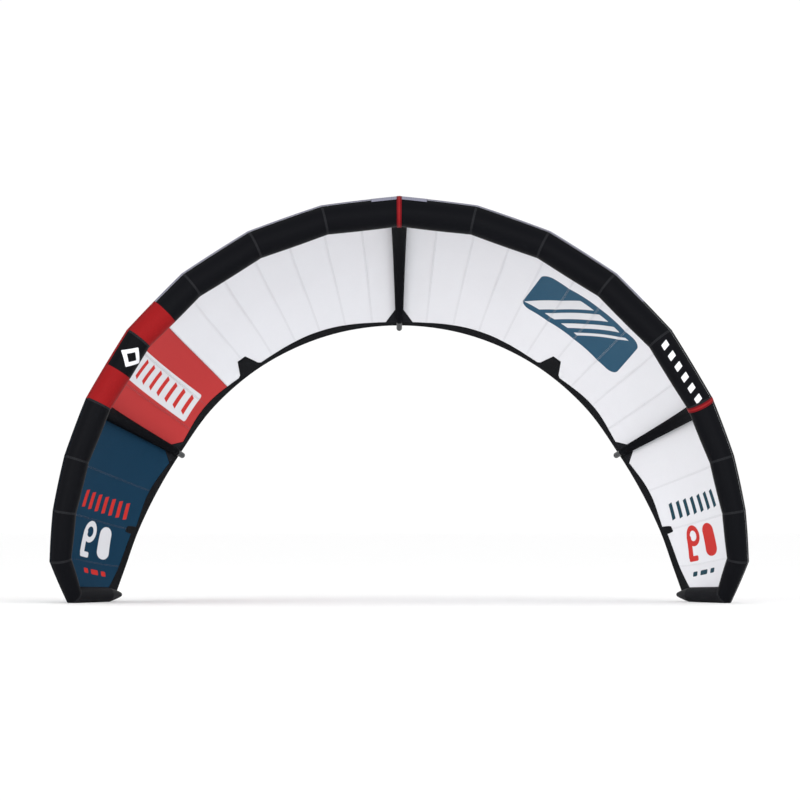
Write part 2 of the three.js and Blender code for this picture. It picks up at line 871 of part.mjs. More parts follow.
function addTrim(group) {
  addPiece(group, 'trailing_band', trailingBand(), 'trim');
  addPiece(group, 'ring_centre', tubeCollar(0, CENTRE_RING_PULL), 'ring');
  addPiece(group, 'ring_right', tubeCollar(5, RIGHT_RING_PULL), 'ring');
}

// The origin is the middle of the kite's box, on the floor
function standOnOrigin(group) {
  const box = new THREE.Box3().setFromObject(group);
  const middle = box.getCenter(vec(0, 0, 0));
  group.position.set(-middle.x, -middle.y, -box.min.z);
}

const kite = new THREE.Group();
kite.name = 'kitesurfing_kite';
addTubes(kite);
addCanopy(kite);
addStruts(kite);
addTrim(kite);
standOnOrigin(kite);

export default kite;
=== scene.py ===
import json
import math

import bpy
import numpy as np
from bpy.props import FloatProperty, FloatVectorProperty, IntProperty, PointerProperty
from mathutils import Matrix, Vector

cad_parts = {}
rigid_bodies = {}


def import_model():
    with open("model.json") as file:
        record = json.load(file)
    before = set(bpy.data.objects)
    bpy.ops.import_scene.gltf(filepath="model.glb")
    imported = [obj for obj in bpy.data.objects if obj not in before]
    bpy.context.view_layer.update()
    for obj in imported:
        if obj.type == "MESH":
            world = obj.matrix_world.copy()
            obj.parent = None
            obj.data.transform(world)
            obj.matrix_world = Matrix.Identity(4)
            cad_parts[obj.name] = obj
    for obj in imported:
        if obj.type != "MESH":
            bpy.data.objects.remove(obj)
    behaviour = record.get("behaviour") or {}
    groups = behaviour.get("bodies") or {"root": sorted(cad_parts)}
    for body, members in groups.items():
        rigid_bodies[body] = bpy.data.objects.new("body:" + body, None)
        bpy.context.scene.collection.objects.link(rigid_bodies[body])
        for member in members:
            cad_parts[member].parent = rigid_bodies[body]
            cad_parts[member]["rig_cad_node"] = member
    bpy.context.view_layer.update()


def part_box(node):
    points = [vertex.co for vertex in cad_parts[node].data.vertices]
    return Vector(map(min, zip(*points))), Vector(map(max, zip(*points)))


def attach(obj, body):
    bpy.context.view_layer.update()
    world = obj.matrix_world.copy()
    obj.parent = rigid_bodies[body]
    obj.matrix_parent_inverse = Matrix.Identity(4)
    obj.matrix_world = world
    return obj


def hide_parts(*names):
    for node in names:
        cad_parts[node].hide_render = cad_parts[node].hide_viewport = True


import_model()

bl_info = {
    "name": "Kitesurfing kite",
    "version": (1, 0, 0),
    "blender": (4, 5, 0),
    "location": "3D View > Sidebar > Kite",
    "description": "Dresses the solids of a kitesurfing kite in cloth, tubes, trim and stitching",
    "category": "Object",
}

# All sizes are in metres. The kite stands on its two wing tips, +Z is up and +Y is its rear.
# One row for each seam of the leading edge, from the centre to the tube's end: the tube's axis,
# its diameter, and the trailing edge behind it.
SEAM_ROWS = (
    {"axis": (0.0, 0.0, 2.198), "tube": 0.168, "tail": (0.0, 1.685, 1.6515)},
    {"axis": (0.42, -0.01, 2.149), "tube": 0.166, "tail": (0.321, 1.66, 1.6165)},
    {"axis": (0.812, -0.045, 2.007), "tube": 0.165, "tail": (0.616, 1.593, 1.5165)},
    {"axis": (1.165, -0.1, 1.777), "tube": 0.162, "tail": (0.889, 1.482, 1.353)},
    {"axis": (1.457, -0.155, 1.473), "tube": 0.155, "tail": (1.128, 1.341, 1.125)},
    {"axis": (1.675, -0.19, 1.108), "tube": 0.148, "tail": (1.308, 1.166, 0.852)},
    {"axis": (1.793, -0.205, 0.799), "tube": 0.139, "tail": (1.432, 0.995, 0.622)},
    {"axis": (1.859, -0.205, 0.507), "tube": 0.129, "tail": (1.524, 0.79, 0.397)},
    {"axis": (1.883, -0.175, 0.241), "tube": 0.118, "tail": (1.579, 0.565, 0.196)},
    {"axis": (1.816, -0.098, 0.0435), "tube": 0.094, "tail": (0.0, 0.0, 0.0)},
    {"axis": (1.655, 0.2145, 0.0399), "tube": 0.0852, "tail": (0.0, 0.0, 0.0)},
)
AXIS = np.array([row["axis"] for row in SEAM_ROWS])
TUBE = np.array([row["tube"] for row in SEAM_ROWS])
TAIL = np.array([row["tail"] for row in SEAM_ROWS])
TIP = len(SEAM_ROWS) - 2
END = len(SEAM_ROWS) - 1

# Canopy section, counted in rows from the hem on the tube to the trailing edge
HEM_ANGLE = 27.5
ROW_ANGLE = 15.0
WRAP_ROWS = 2.0
SAIL_ROWS = 15.0
LAST_ROW = WRAP_ROWS + SAIL_ROWS
CORNER_ROWS = 5.0
ROW_EASING = 1.1
NOSE_REACH = 0.36
TAIL_REACH = 0.34
TAIL_SLOPE = 0.24
SEAT = 0.0006
TIP_CLOTH_PAST = 0.140
TIP_CLOTH_DROP = 0.3
TIP_SEAT_ROWS = 9.0

STRUTS = (
    {"name": "centre", "seam": 0, "side": 1, "front": 0.110, "rear": 0.046},
    {"name": "right", "seam": 5, "side": 1, "front": 0.104, "rear": 0.045},
    {"name": "left", "seam": 5, "side": -1, "front": 0.104, "rear": 0.045},
)
STRUT_END = 0.955
BATTENS = (
    {"seam": 3, "depth": 0.175, "base": 0.25, "top": 0.08, "round": False},
    {"seam": 7, "depth": 0.108, "base": 0.104, "top": 0.055, "round": True},
)

# The canopy's colour pieces in signed stations, which count seams from the centre to the right
CANOPY_PIECES = (
    {"name": "canopy_white", "from": -3.5, "to": 9.0, "panels": (("right", 1, 14), ("left", 1, 7))},
    {"name": "canopy_red", "from": -5.0, "to": -3.5, "panels": (("left", 8, 10),)},
    {"name": "canopy_teal", "from": -9.0, "to": -5.0, "panels": (("left", 11, 14),)},
)


# Frames of the tube

def mirrored(points, side):
    """Points of the kite's right half, brought to the side that the sign of a number gives."""
    return points * np.array([-1.0 if side < 0 else 1.0, 1.0, 1.0])


def unit(v):
    v = np.asarray(v, float)
    return v / np.linalg.norm(v, axis=-1, keepdims=True)


SEGMENT = unit(AXIS[1:] - AXIS[:-1])
SEGMENT_LENGTH = np.linalg.norm(AXIS[1:] - AXIS[:-1], axis=1)
ALONG = np.concatenate([[0.0], np.cumsum(SEGMENT_LENGTH)])


def mitre_normals():
    rows = [np.array([1.0, 0.0, 0.0])]
    rows += [unit(SEGMENT[i - 1] + SEGMENT[i]) for i in range(1, END)]
    return np.array(rows + [SEGMENT[END - 1]])


MITRE = mitre_normals()


def carried_frames():
    """The outward direction goes from segment to segment by mirroring it in each mitre."""
    out = np.array([0.0, 0.0, 1.0])
    outs, fronts = [], []
    for i in range(END):
        if i:
            out = out - 2 * (out @ MITRE[i]) * MITRE[i]
        out = unit(out - (out @ SEGMENT[i]) * SEGMENT[i])
        outs.append(out)
        fronts.append(np.cross(SEGMENT[i], out))
    return np.array(outs), np.array(fronts)


OUT, FRONT = carried_frames()


def seam_out(i):
    if i == 0:
        return np.array([0.0, 0.0, 1.0])
    return unit(OUT[i - 1] + OUT[min(i, END - 1)])


def out_at(station):
    """The outward direction, which turns evenly from each seam to the next."""
    i = min(int(station + 1e-9), END - 1)
    return seam_out(i) + (seam_out(i + 1) - seam_out(i)) * (station - i)


def seam_ring(i, angles, extra=0.0):
    """Points round the tube in a mitre plane, at angles from its outer side towards its front."""
    segment = min(i, END - 1)
    a = np.radians(np.atleast_1d(angles))[:, None]
    radial = np.cos(a) * OUT[segment] + np.sin(a) * FRONT[segment]
    slope = (radial @ MITRE[i]) / (SEGMENT[segment] @ MITRE[i])
    radial = radial - slope[:, None] * SEGMENT[segment]
    return AXIS[i] + radial * (TUBE[i] / 2 + np.reshape(extra, (-1, 1)))


def tube_ring(station, angles, extra=0.0):
    """Points round the inflated tube at a station, which counts seams from the centre."""
    bulge = bpy.context.scene.kite_tube.bulge
    i = min(int(math.floor(station + 1e-9)), END - 1)
    share = station - i
    low, high = seam_ring(i, angles, extra), seam_ring(i + 1, angles, extra)
    points = low + (high - low) * share
    if i < END - 1:
        a = np.radians(np.atleast_1d(angles))[:, None]
        radial = np.cos(a) * OUT[i] + np.sin(a) * FRONT[i]
        points = points + radial * bulge * (1 - (2 * share - 1) ** 2)
    return points


def row_angle(row):
    return HEM_ANGLE - ROW_ANGLE * np.asarray(row, float)


# Trailing edge

def tip_cloth_corner():
    """The canopy's last corner, past the tube's last ring and closer to its axis."""
    seat = seam_ring(END, row_angle(CORNER_ROWS), SEAT)[0]
    return seat + (AXIS[END] - seat) * TIP_CLOTH_DROP + SEGMENT[END - 1] * TIP_CLOTH_PAST


def tail_knot(i):
    if i < 0:
        return mirrored(tail_knot(-i), -1)
    if i > TIP:
        return 2 * tail_knot(TIP) - tail_knot(TIP - 1)
    return tip_cloth_corner() if i == TIP else TAIL[i]


def tail_point(station):
    i = min(int(math.floor(station + 1e-9)), TIP - 1)
    t = station - i
    p0, p1, p2, p3 = (tail_knot(i + k) for k in (-1, 0, 1, 2))
    square = 2 * p0 - 5 * p1 + 4 * p2 - p3
    cube = 3 * p1 - p0 - 3 * p2 + p3
    return 0.5 * (2 * p1 + (p2 - p0) * t + square * t * t + cube * t ** 3)


# Canopy section

def panel_width(station):
    return 0.5 if station < 5 else 1.0


def billow_share(station):
    width = panel_width(station)
    share = (station % width) / width
    return 4 * share * (1 - share)


def sail_rows(station, rows):
    """The canopy's inner face at one station, from the hem over the tube to the trailing edge."""
    if station > TIP - 1:
        return tip_rows(station, rows)
    rows = np.asarray(rows, float)
    t = np.clip((rows - WRAP_ROWS) / SAIL_ROWS, 0, None)[:, None] ** ROW_EASING
    leave = tube_ring(station, row_angle(WRAP_ROWS), SEAT)[0]
    nose = unit(tube_ring(station, row_angle(3), SEAT)[0] - tube_ring(station, row_angle(1), SEAT)[0])
    tail = tail_point(station)
    chord = tail - leave
    length = np.linalg.norm(chord)
    chord = chord / length
    up = out_at(station)
    up = unit(up - (up @ chord) * chord)
    p1 = leave + nose * NOSE_REACH * length
    p2 = tail + unit(up * TAIL_SLOPE - chord) * TAIL_REACH * length
    s = 1 - t
    points = leave * s ** 3 + p1 * (3 * s * s * t) + p2 * (3 * s * t * t) + tail * t ** 3
    depth = bpy.context.scene.kite_canopy.billow * billow_share(station)
    points = points + up * depth * np.sin(math.pi * np.clip(t, 0, 1))
    wrap = tube_ring(station, row_angle(np.minimum(rows, WRAP_ROWS)), SEAT)
    return np.where(rows[:, None] <= WRAP_ROWS, wrap, points)


def corner_rows(rows):
    """The last station follows the tube round the corner and then runs along the tip tube."""
    rows = np.asarray(rows, float)
    ring = seam_ring(TIP, row_angle(np.minimum(rows, CORNER_ROWS)), SEAT)
    start, seat = (seam_ring(i, row_angle(CORNER_ROWS), SEAT)[0] for i in (TIP, END))
    bend = CORNER_ROWS + TIP_SEAT_ROWS
    first = np.clip((rows - CORNER_ROWS) / TIP_SEAT_ROWS, 0, 1)[:, None]
    second = np.clip((rows - bend) / (LAST_ROW - bend), 0, 1)[:, None]
    along = start + (seat - start) * first + (tip_cloth_corner() - seat) * second
    return np.where(rows[:, None] <= CORNER_ROWS, ring, along)


def tip_rows(station, rows):
    rows = np.asarray(rows, float)
    share = station - (TIP - 1)
    points = sail_rows(TIP - 1, rows) * (1 - share) + corner_rows(rows) * share
    wrap = tube_ring(station, row_angle(np.minimum(rows, WRAP_ROWS)), SEAT)
    return np.where(rows[:, None] <= WRAP_ROWS, wrap, points)


def signed_rows(station, rows):
    return mirrored(sail_rows(abs(station), rows), station)


def row_of(share):
    """The row at a share of the sail's curve."""
    return WRAP_ROWS + SAIL_ROWS * np.asarray(share, float) ** (1 / ROW_EASING)


def sail_normals(station, rows):
    """Directions from the inner face to the outer one."""
    step, rise = 0.01, 0.02
    low, high = max(abs(station) - step, 0.0), min(abs(station) + step, TIP)
    across = sail_rows(high, rows) - sail_rows(low, rows)
    if abs(station) < step:
        across[:, 1:] = 0
    before = sail_rows(abs(station), np.maximum(np.asarray(rows, float) - rise, 0))
    after = sail_rows(abs(station), np.minimum(np.asarray(rows, float) + rise, LAST_ROW))
    return mirrored(unit(np.cross(across, after - before)), station)


def sail_points(station, shares, off):
    """Points of the canopy at shares of its curve, off its inner face by a distance."""
    rows = row_of(np.atleast_1d(shares))
    normal = sail_normals(station, rows)
    return signed_rows(station, rows) + normal * np.reshape(off, (-1, 1)), normal


def row_shift():
    """The distance from the sizes' own zero to the frame's origin, along the kite's length."""
    angles = row_angle(np.arange(24))
    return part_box("le_tube_right_01")[0].y - min(seam_ring(i, angles)[:, 1].min() for i in (0, 1))


SHIFT = np.array([0.0, row_shift(), 0.0])


# Meshes

def clear_old(name):
    old = bpy.data.objects.get(name)
    if old is not None and "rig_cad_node" not in old:
        bpy.data.objects.remove(old, do_unlink=True)


def make_object(name, points, faces, corner_uv, values=None):
    """A mesh object at the origin. The points come in the sizes' own frame."""
    clear_old(name)
    points = np.asarray(points, float) + SHIFT
    mesh = bpy.data.meshes.new(name)
    mesh.from_pydata(points.tolist(), [], [list(f) for f in faces])
    layer = mesh.uv_layers.new(name="cloth")
    layer.data.foreach_set("uv", np.asarray(corner_uv, np.float32).ravel())
    for key, row in (values or {}).items():
        attribute = mesh.attributes.new(key, "FLOAT", "POINT")
        attribute.data.foreach_set("value", np.asarray(row, np.float32))
    if signed_volume(mesh) < 0:
        mesh.flip_normals()
    mesh.polygons.foreach_set("use_smooth", [True] * len(mesh.polygons))
    mesh.update()
    made = bpy.data.objects.new(name, mesh)
    bpy.context.scene.collection.objects.link(made)
    return made


def signed_volume(mesh):
    mesh.calc_loop_triangles()
    points = np.zeros(len(mesh.vertices) * 3, np.float32)
    mesh.vertices.foreach_get("co", points)
    corners = np.zeros(len(mesh.loop_triangles) * 3, np.int32)
    mesh.loop_triangles.foreach_get("vertices", corners)
    a, b, c = np.transpose(points.reshape(-1, 3)[corners.reshape(-1, 3)], (1, 0, 2))
    return float((a * np.cross(b, c)).sum())


def paint(made, material, slot, *nodes):
    made.data.materials.clear()
    made.data.materials.append(material)
    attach(made, "root")
    if nodes:
        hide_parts(*nodes)


def tube_faces(rings, sides):
    faces, corners = [], []
    for r in range(rings - 1):
        for s in range(sides):
            a, b = r * sides + s, r * sides + (s + 1) % sides
            faces.append((a, b, b + sides, a + sides))
            corners.append(((r, s), (r, s + 1), (r + 1, s + 1), (r + 1, s)))
    return faces, corners


def closed_tube(name, rings, along, around, values=None):
    """A smooth closed tube through rings of points, with its cloth map in metres."""
    rings = np.asarray(rings, float)
    count, sides = rings.shape[:2]
    faces, corners = tube_faces(count, sides)
    uv = [(along[r], around[r][s]) for corner in corners for r, s in corner]
    points = list(rings.reshape(-1, 3))
    extra = []
    for ring, flip in ((0, False), (count - 1, True)):
        hub = len(points)
        points.append(rings[ring].mean(axis=0))
        extra.append(ring)
        for s in range(sides):
            a, b = ring * sides + s, ring * sides + (s + 1) % sides
            faces.append((hub, a, b) if flip else (hub, b, a))
            uv += [(along[ring], around[ring][s])] * 3
    kept = {}
    for key, grid in (values or {}).items():
        grid = np.asarray(grid, float)
        kept[key] = np.concatenate([grid.ravel(), grid[extra, 0]])
    return make_object(name, np.array(points), faces, uv, kept)


def sheet_faces(columns, rows, shift):
    faces, corners = [], []
    for j in range(columns - 1):
        for i in range(rows - 1):
            a = j * rows + i
            quad = (a, a + rows, a + rows + 1, a + 1)
            place = ((j, i), (j + 1, i), (j + 1, i + 1), (j, i + 1))
            faces.append(quad)
            corners.append(place)
            faces.append(tuple(v + shift for v in quad[::-1]))
            corners.append(place[::-1])
    rim = [(j, 0) for j in range(columns - 1)]
    rim += [(columns - 1, i) for i in range(rows - 1)]
    rim += [(j, rows - 1) for j in range(columns - 1, 0, -1)]
    rim += [(0, i) for i in range(rows - 1, 0, -1)]
    for n, here in enumerate(rim):
        there = rim[(n + 1) % len(rim)]
        a, b = here[0] * rows + here[1], there[0] * rows + there[1]
        faces.append((a, a + shift, b + shift, b))
        corners.append((here, here, there, there))
    return faces, corners


def sheet_part(inner, outer, u, v):
    """Points, outward faces and corner map of a closed sheet between two grids."""
    inner, outer = np.asarray(inner, float), np.asarray(outer, float)
    columns, rows = inner.shape[:2]
    faces, corners = sheet_faces(columns, rows, columns * rows)
    points = np.concatenate([inner.reshape(-1, 3), outer.reshape(-1, 3)])
    quads = np.array(faces)
    a, b, c, d = (points[quads[:, k]] for k in range(4))
    volume = (a * np.cross(b, c)).sum() + (a * np.cross(c, d)).sum()
    uv = np.array([(u[j][i], v[j][i]) for corner in corners for j, i in corner]).reshape(-1, 4, 2)
    if volume < 0:
        quads, uv = quads[:, ::-1], uv[:, ::-1]
    return points, quads, uv


def cloth_sheet(name, inner, outer, u, v, values=None):
    """A closed sheet between two grids. u and v are its cloth map in metres."""
    points, quads, uv = sheet_part(inner, outer, u, v)
    kept = {key: np.concatenate([np.ravel(a), np.ravel(b)]) for key, (a, b) in (values or {}).items()}
    return make_object(name, points, quads.tolist(), uv, kept)


def cloth_sheets(name, parts):
    """Several closed sheets in one mesh."""
    points, quads, uv, start = [], [], [], 0
    for part in parts:
        points.append(part[0])
        quads.append(part[1] + start)
        uv.append(part[2])
        start += len(part[0])
    return make_object(name, np.concatenate(points), np.concatenate(quads).tolist(), np.concatenate(uv))


def grid_lengths(grid):
    """Distances along each column of a grid of points."""
    steps = np.linalg.norm(np.diff(grid, axis=1), axis=2)
    return np.concatenate([np.zeros((len(grid), 1)), np.cumsum(steps, axis=1)], axis=1)


# Settings

class KiteCanopySettings(bpy.types.PropertyGroup):
    """Sizes and colours of the canopy."""
    thickness: FloatProperty(name="Cloth thickness", description="Thickness of the canopy cloth",
                             default=0.0012, min=0.0005, max=0.003, unit="LENGTH")
    billow: FloatProperty(name="Billow", description="How far each panel bellies out between its seams",
                          default=0.005, min=0.0, max=0.015, unit="LENGTH")
    seam_width: FloatProperty(name="Seam width", description="Width of the doubled cloth at a panel seam",
                              default=0.012, min=0.004, max=0.03, unit="LENGTH")
    seam_rise: FloatProperty(name="Seam rise", description="How far the doubled cloth of a seam stands proud",
                             default=0.0004, min=0.0, max=0.001, unit="LENGTH")
    panel_columns: IntProperty(name="Columns a half panel", description="Mesh columns across half a segment",
                               default=10, min=4, max=20)
    sail_steps: IntProperty(name="Rows a chord", description="Mesh rows from the tube to the trailing edge",
                            default=44, min=16, max=80)
    white: FloatVectorProperty(name="White cloth", description="Colour of the white panels", subtype="COLOR",
                               default=(0.80, 0.81, 0.845), min=0.0, max=1.0)
    red: FloatVectorProperty(name="Red cloth", description="Colour of the red panels", subtype="COLOR",
                             default=(0.51, 0.046, 0.046), min=0.0, max=1.0)
    teal: FloatVectorProperty(name="Teal cloth", description="Colour of the teal panels", subtype="COLOR",
                              default=(0.0085, 0.040, 0.080), min=0.0, max=1.0)
    hem: FloatVectorProperty(name="Hem strip", description="Colour of the wear strip over the hem",
                             subtype="COLOR", default=(0.20, 0.20, 0.26), min=0.0, max=1.0)


class KiteTubeSettings(bpy.types.PropertyGroup):
    """Sizes and colours of the inflated tubes."""
    bulge: FloatProperty(name="Bulge", description="How far a tube segment swells between its seams",
                         default=0.0025, min=0.0, max=0.01, unit="LENGTH")
    pucker: FloatProperty(name="Pucker", description="Depth of the small folds beside a seam",
                          default=0.0014, min=0.0, max=0.005, unit="LENGTH")
    sides: IntProperty(name="Sides", description="Mesh sides round the leading edge",
                       default=72, min=24, max=96)
    cloth: FloatVectorProperty(name="Tube cloth", description="Colour of the tubes", subtype="COLOR",
                               default=(0.0041, 0.0044, 0.0058), min=0.0, max=1.0)
    strut: FloatVectorProperty(name="Strut cloth", description="Colour of the struts", subtype="COLOR",
                               default=(0.0039, 0.0042, 0.0056), min=0.0, max=1.0)
    red: FloatVectorProperty(name="Red tube cloth", description="Colour of the tube's red sections",
                             subtype="COLOR", default=(0.235, 0.0085, 0.0100), min=0.0, max=1.0)
    tape_width: FloatProperty(name="Tape width", description="Width of the tapes over the tube's seams",
                              default=0.013, min=0.005, max=0.03, unit="LENGTH")
    tape: FloatVectorProperty(name="Seam tape", description="Colour of the tapes over the tube's seams",
                              subtype="COLOR", default=(0.012, 0.0125, 0.0145), min=0.0, max=1.0)


class KiteTrimSettings(bpy.types.PropertyGroup):
    """Sizes and colours of the trailing edge band, patches, rings and stitches."""
    cloth: FloatProperty(name="Trim thickness", description="Thickness of the trim cloth",
                         default=0.001, min=0.0005, max=0.002, unit="LENGTH")
    gap: FloatProperty(name="Trim gap", description="Room between the trim and the canopy",
                       default=0.0004, min=0.0001, max=0.001, unit="LENGTH")
    band_width: FloatProperty(name="Band width", description="Width of the trailing edge band at a strut",
                              default=0.032, min=0.02, max=0.06, unit="LENGTH")
    band_swell: FloatProperty(name="Band swell", description="Extra width of the band between its struts",
                              default=0.034, min=0.0, max=0.05, unit="LENGTH")
    tip_width: FloatProperty(name="Tip width", description="Width of the band where the tip begins",
                             default=0.050, min=0.02, max=0.06, unit="LENGTH")
    tip_growth: FloatProperty(name="Tip growth", description="Extra width of the band at the end of the tip",
                              default=0.030, min=0.0, max=0.05, unit="LENGTH")
    back_width: FloatProperty(name="Outer leaf", description="Width of the band on the outer face",
                              default=0.034, min=0.02, max=0.06, unit="LENGTH")
    ring_width: FloatProperty(name="Ring width", description="Width of the rings round the tube",
                              default=0.028, min=0.015, max=0.05, unit="LENGTH")
    black: FloatVectorProperty(name="Trim cloth", description="Colour of the black trim", subtype="COLOR",
                               default=(0.0055, 0.0061, 0.0076), min=0.0, max=1.0)
    patch: FloatVectorProperty(name="Patch cloth", description="Colour of the strut patches", subtype="COLOR",
                               default=(0.0110, 0.0116, 0.0145), min=0.0, max=1.0)
    ring: FloatVectorProperty(name="Ring webbing", description="Colour of the rings", subtype="COLOR",
                              default=(0.150, 0.0050, 0.0085), min=0.0, max=1.0)
    stripe: FloatVectorProperty(name="Ring stripe", description="Colour of the stripe along the rings",
                                subtype="COLOR", default=(0.25, 0.0140, 0.0150), min=0.0, max=1.0)
    tail: FloatVectorProperty(name="Strut tail", description="Colour of the strut tails", subtype="COLOR",
                              default=(0.0295, 0.0320, 0.0345), min=0.0, max=1.0)
    thread: FloatVectorProperty(name="Pale thread", description="Colour of the canopy's stitches",
                                subtype="COLOR", default=(0.62, 0.63, 0.66), min=0.0, max=1.0)
    muted_thread: FloatVectorProperty(name="Muted thread", subtype="COLOR",
                                      description="Colour of the coloured cloth's stitches",
                                      default=(0.165, 0.150, 0.170), min=0.0, max=1.0)
    dark_thread: FloatVectorProperty(name="Dark thread", description="Colour of the tube's and trim's stitches",
                                     subtype="COLOR", default=(0.030, 0.032, 0.036), min=0.0, max=1.0)


class KiteStageSettings(bpy.types.PropertyGroup):
    """Camera, floor and light."""
    lens: FloatProperty(name="Lens", description="Focal length of the camera", default=160.2, subtype="NONE")
    distance: FloatProperty(name="Camera distance", description="From the tube's top to the camera, along -Y",
                            default=19.988, unit="LENGTH")
    height: FloatProperty(name="Camera height", description="Height of the camera above the floor",
                          default=0.4386, unit="LENGTH")
    tilt: FloatProperty(name="Camera tilt", description="How far the camera looks up",
                        default=math.radians(2.0), unit="ROTATION")
    floor_reach: FloatProperty(name="Floor reach", description="Half the width of the floor", default=150.0,
                               unit="LENGTH")
    sky: FloatProperty(name="Room light", description="Strength of the even light of the room", default=1.02)
    key: FloatProperty(name="Key light", description="Power of the large light at the front left",
                       default=600.0, subtype="POWER")
    fill: FloatProperty(name="Fill light", description="Power of the large light at the front right",
                        default=500.0, subtype="POWER")


# Material nodes

class Tree:
    """Short ways to add nodes to a material or a node group."""

    def __init__(self, tree):
        self.tree = tree

    def add(self, kind, inputs=None, **settings):
        node = self.tree.nodes.new(kind)
        for key, value in settings.items():
            setattr(node, key, value)
        for key, value in (inputs or {}).items():
            self.set(node.inputs[key], value)
        return node

    def set(self, socket, value):
        if isinstance(value, bpy.types.NodeSocket):
            self.tree.links.new(value, socket)
        else:
            socket.default_value = value

    def maths(self, operation, *values):
        return self.add("ShaderNodeMath", dict(enumerate(values)), operation=operation).outputs[0]

    def less(self, value, share):
        """One minus a share of a value, to darken by."""
        return self.maths("SUBTRACT", 1.0, self.maths("MULTIPLY", value, share))

    def more(self, value, share, start=1.0):
        """A share of a value added to a start."""
        return self.maths("ADD", start, self.maths("MULTIPLY", value, share))

    def between(self, value, low, high):
        above = self.maths("GREATER_THAN", value, low)
        return self.maths("MULTIPLY", self.maths("LESS_THAN", value, high), above)

    def vector(self, operation, *values):
        node = self.add("ShaderNodeVectorMath", dict(enumerate(values)), operation=operation)
        return node.outputs["Value" if operation in ("DOT_PRODUCT", "LENGTH") else "Vector"]

    def step(self, value, low, high, start=0.0, end=1.0):
        inputs = {"Value": value, "From Min": low, "From Max": high, "To Min": start, "To Max": end}
        return self.add("ShaderNodeMapRange", inputs, interpolation_type="SMOOTHSTEP").outputs[0]

    def mix(self, share, a, b, blend="MIX"):
        node = self.add("ShaderNodeMix", data_type="RGBA", blend_type=blend, clamp_factor=True)
        self.set(node.inputs[0], share)
        self.set(node.inputs[6], tuple(a) + (1.0,) if isinstance(a, (tuple, list)) and len(a) == 3 else a)
        self.set(node.inputs[7], tuple(b) + (1.0,) if isinstance(b, (tuple, list)) and len(b) == 3 else b)
        return node.outputs[2]

    def noise(self, point, scale, detail=2.0, rough=0.5):
        inputs = {"Vector": point, "Scale": scale, "Detail": detail, "Roughness": rough}
        return self.add("ShaderNodeTexNoise", inputs, noise_dimensions="3D").outputs[0]

    def place(self):
        return self.add("ShaderNodeTexCoord").outputs["Object"]

    def cloth_map(self):
        return self.add("ShaderNodeUVMap", uv_map="cloth").outputs[0]

    def value_of(self, name):
        return self.add("ShaderNodeAttribute", attribute_name=name).outputs["Fac"]

    def group(self, group, **inputs):
        node = self.add("ShaderNodeGroup", node_tree=group)
        for key, value in inputs.items():
            self.set(node.inputs[key.replace("_", " ")], value)
        return node.outputs


def new_group(name, inputs, outputs, kind_of_tree="ShaderNodeTree"):
    old = bpy.data.node_groups.get(name)
    if old is not None:
        bpy.data.node_groups.remove(old)
    group = bpy.data.node_groups.new(name, kind_of_tree)
    for key, kind, default in inputs:
        socket = group.interface.new_socket(name=key, in_out="INPUT", socket_type="NodeSocket" + kind)
        if default is not None:
            socket.default_value = default
    for key, kind in outputs:
        group.interface.new_socket(name=key, in_out="OUTPUT", socket_type="NodeSocket" + kind)
    tree = Tree(group)
    start = tree.add("NodeGroupInput").outputs
    end = tree.add("NodeGroupOutput").inputs
    return group, tree, start, end


def ripstop_group():
    """Fine plain weave with a grid of thicker threads, from a map in metres."""
    group, tree, start, end = new_group(
        "ripstop weave",
        [("Map", "Vector", None), ("Thread", "Float", 0.0009), ("Square", "Float", 0.006)],
        [("Height", "Float"), ("Grid", "Float")])
    split = tree.add("ShaderNodeSeparateXYZ", {0: start["Map"]}).outputs
    waves, lines = [], []
    for axis in (0, 1):
        turn = tree.maths("MULTIPLY", tree.maths("DIVIDE", split[axis], start["Thread"]), 2 * math.pi)
        waves.append(tree.maths("SINE", turn))
        cell = tree.maths("DIVIDE", split[axis], start["Square"])
        off = tree.maths("ABSOLUTE", tree.maths("SUBTRACT", tree.maths("FRACT", cell), 0.5))
        lines.append(tree.step(off, 0.42, 0.48))
    grid = tree.maths("MAXIMUM", lines[0], lines[1])
    weave = tree.maths("MULTIPLY", waves[0], waves[1])
    height = tree.maths("ADD", tree.maths("MULTIPLY", weave, 0.3), grid)
    tree.set(end["Height"], height)
    tree.set(end["Grid"], grid)
    return group


def tone_group():
    """Slow uneven tone of dyed cloth and small marks of handling."""
    group, tree, start, end = new_group(
        "cloth tone",
        [("Point", "Vector", None), ("Broad", "Float", 0.05), ("Fine", "Float", 0.03)],
        [("Shade", "Float"), ("Marks", "Float")])
    slow = tree.noise(start["Point"], 2.2, 2.0)
    quick = tree.noise(start["Point"], 38.0, 3.0, 0.6)
    a = tree.maths("MULTIPLY", tree.maths("SUBTRACT", slow, 0.5), start["Broad"])
    b = tree.maths("MULTIPLY", tree.maths("SUBTRACT", quick, 0.5), start["Fine"])
    tree.set(end["Shade"], tree.maths("ADD", tree.maths("ADD", a, b), 1.0))
    tree.set(end["Marks"], tree.step(quick, 0.62, 0.75))
    return group


def crease_group():
    """Soft straight creases that folded cloth keeps."""
    group, tree, start, end = new_group(
        "fold creases",
        [("Point", "Vector", None), ("Spacing", "Float", 0.16), ("Width", "Float", 0.05)],
        [("Height", "Float")])
    wobble = tree.noise(start["Point"], 1.7, 1.0)
    sway = tree.add("ShaderNodeCombineXYZ", {0: wobble, 1: wobble, 2: wobble}).outputs[0]
    warp = tree.vector("ADD", start["Point"], sway)
    scale = tree.maths("DIVIDE", 1.0, start["Spacing"])
    cells = tree.add("ShaderNodeTexVoronoi", {"Vector": warp, "Scale": scale}, feature="DISTANCE_TO_EDGE")
    tree.set(end["Height"], tree.step(cells.outputs["Distance"], 0.0, start["Width"], 1.0, 0.0))
    return group


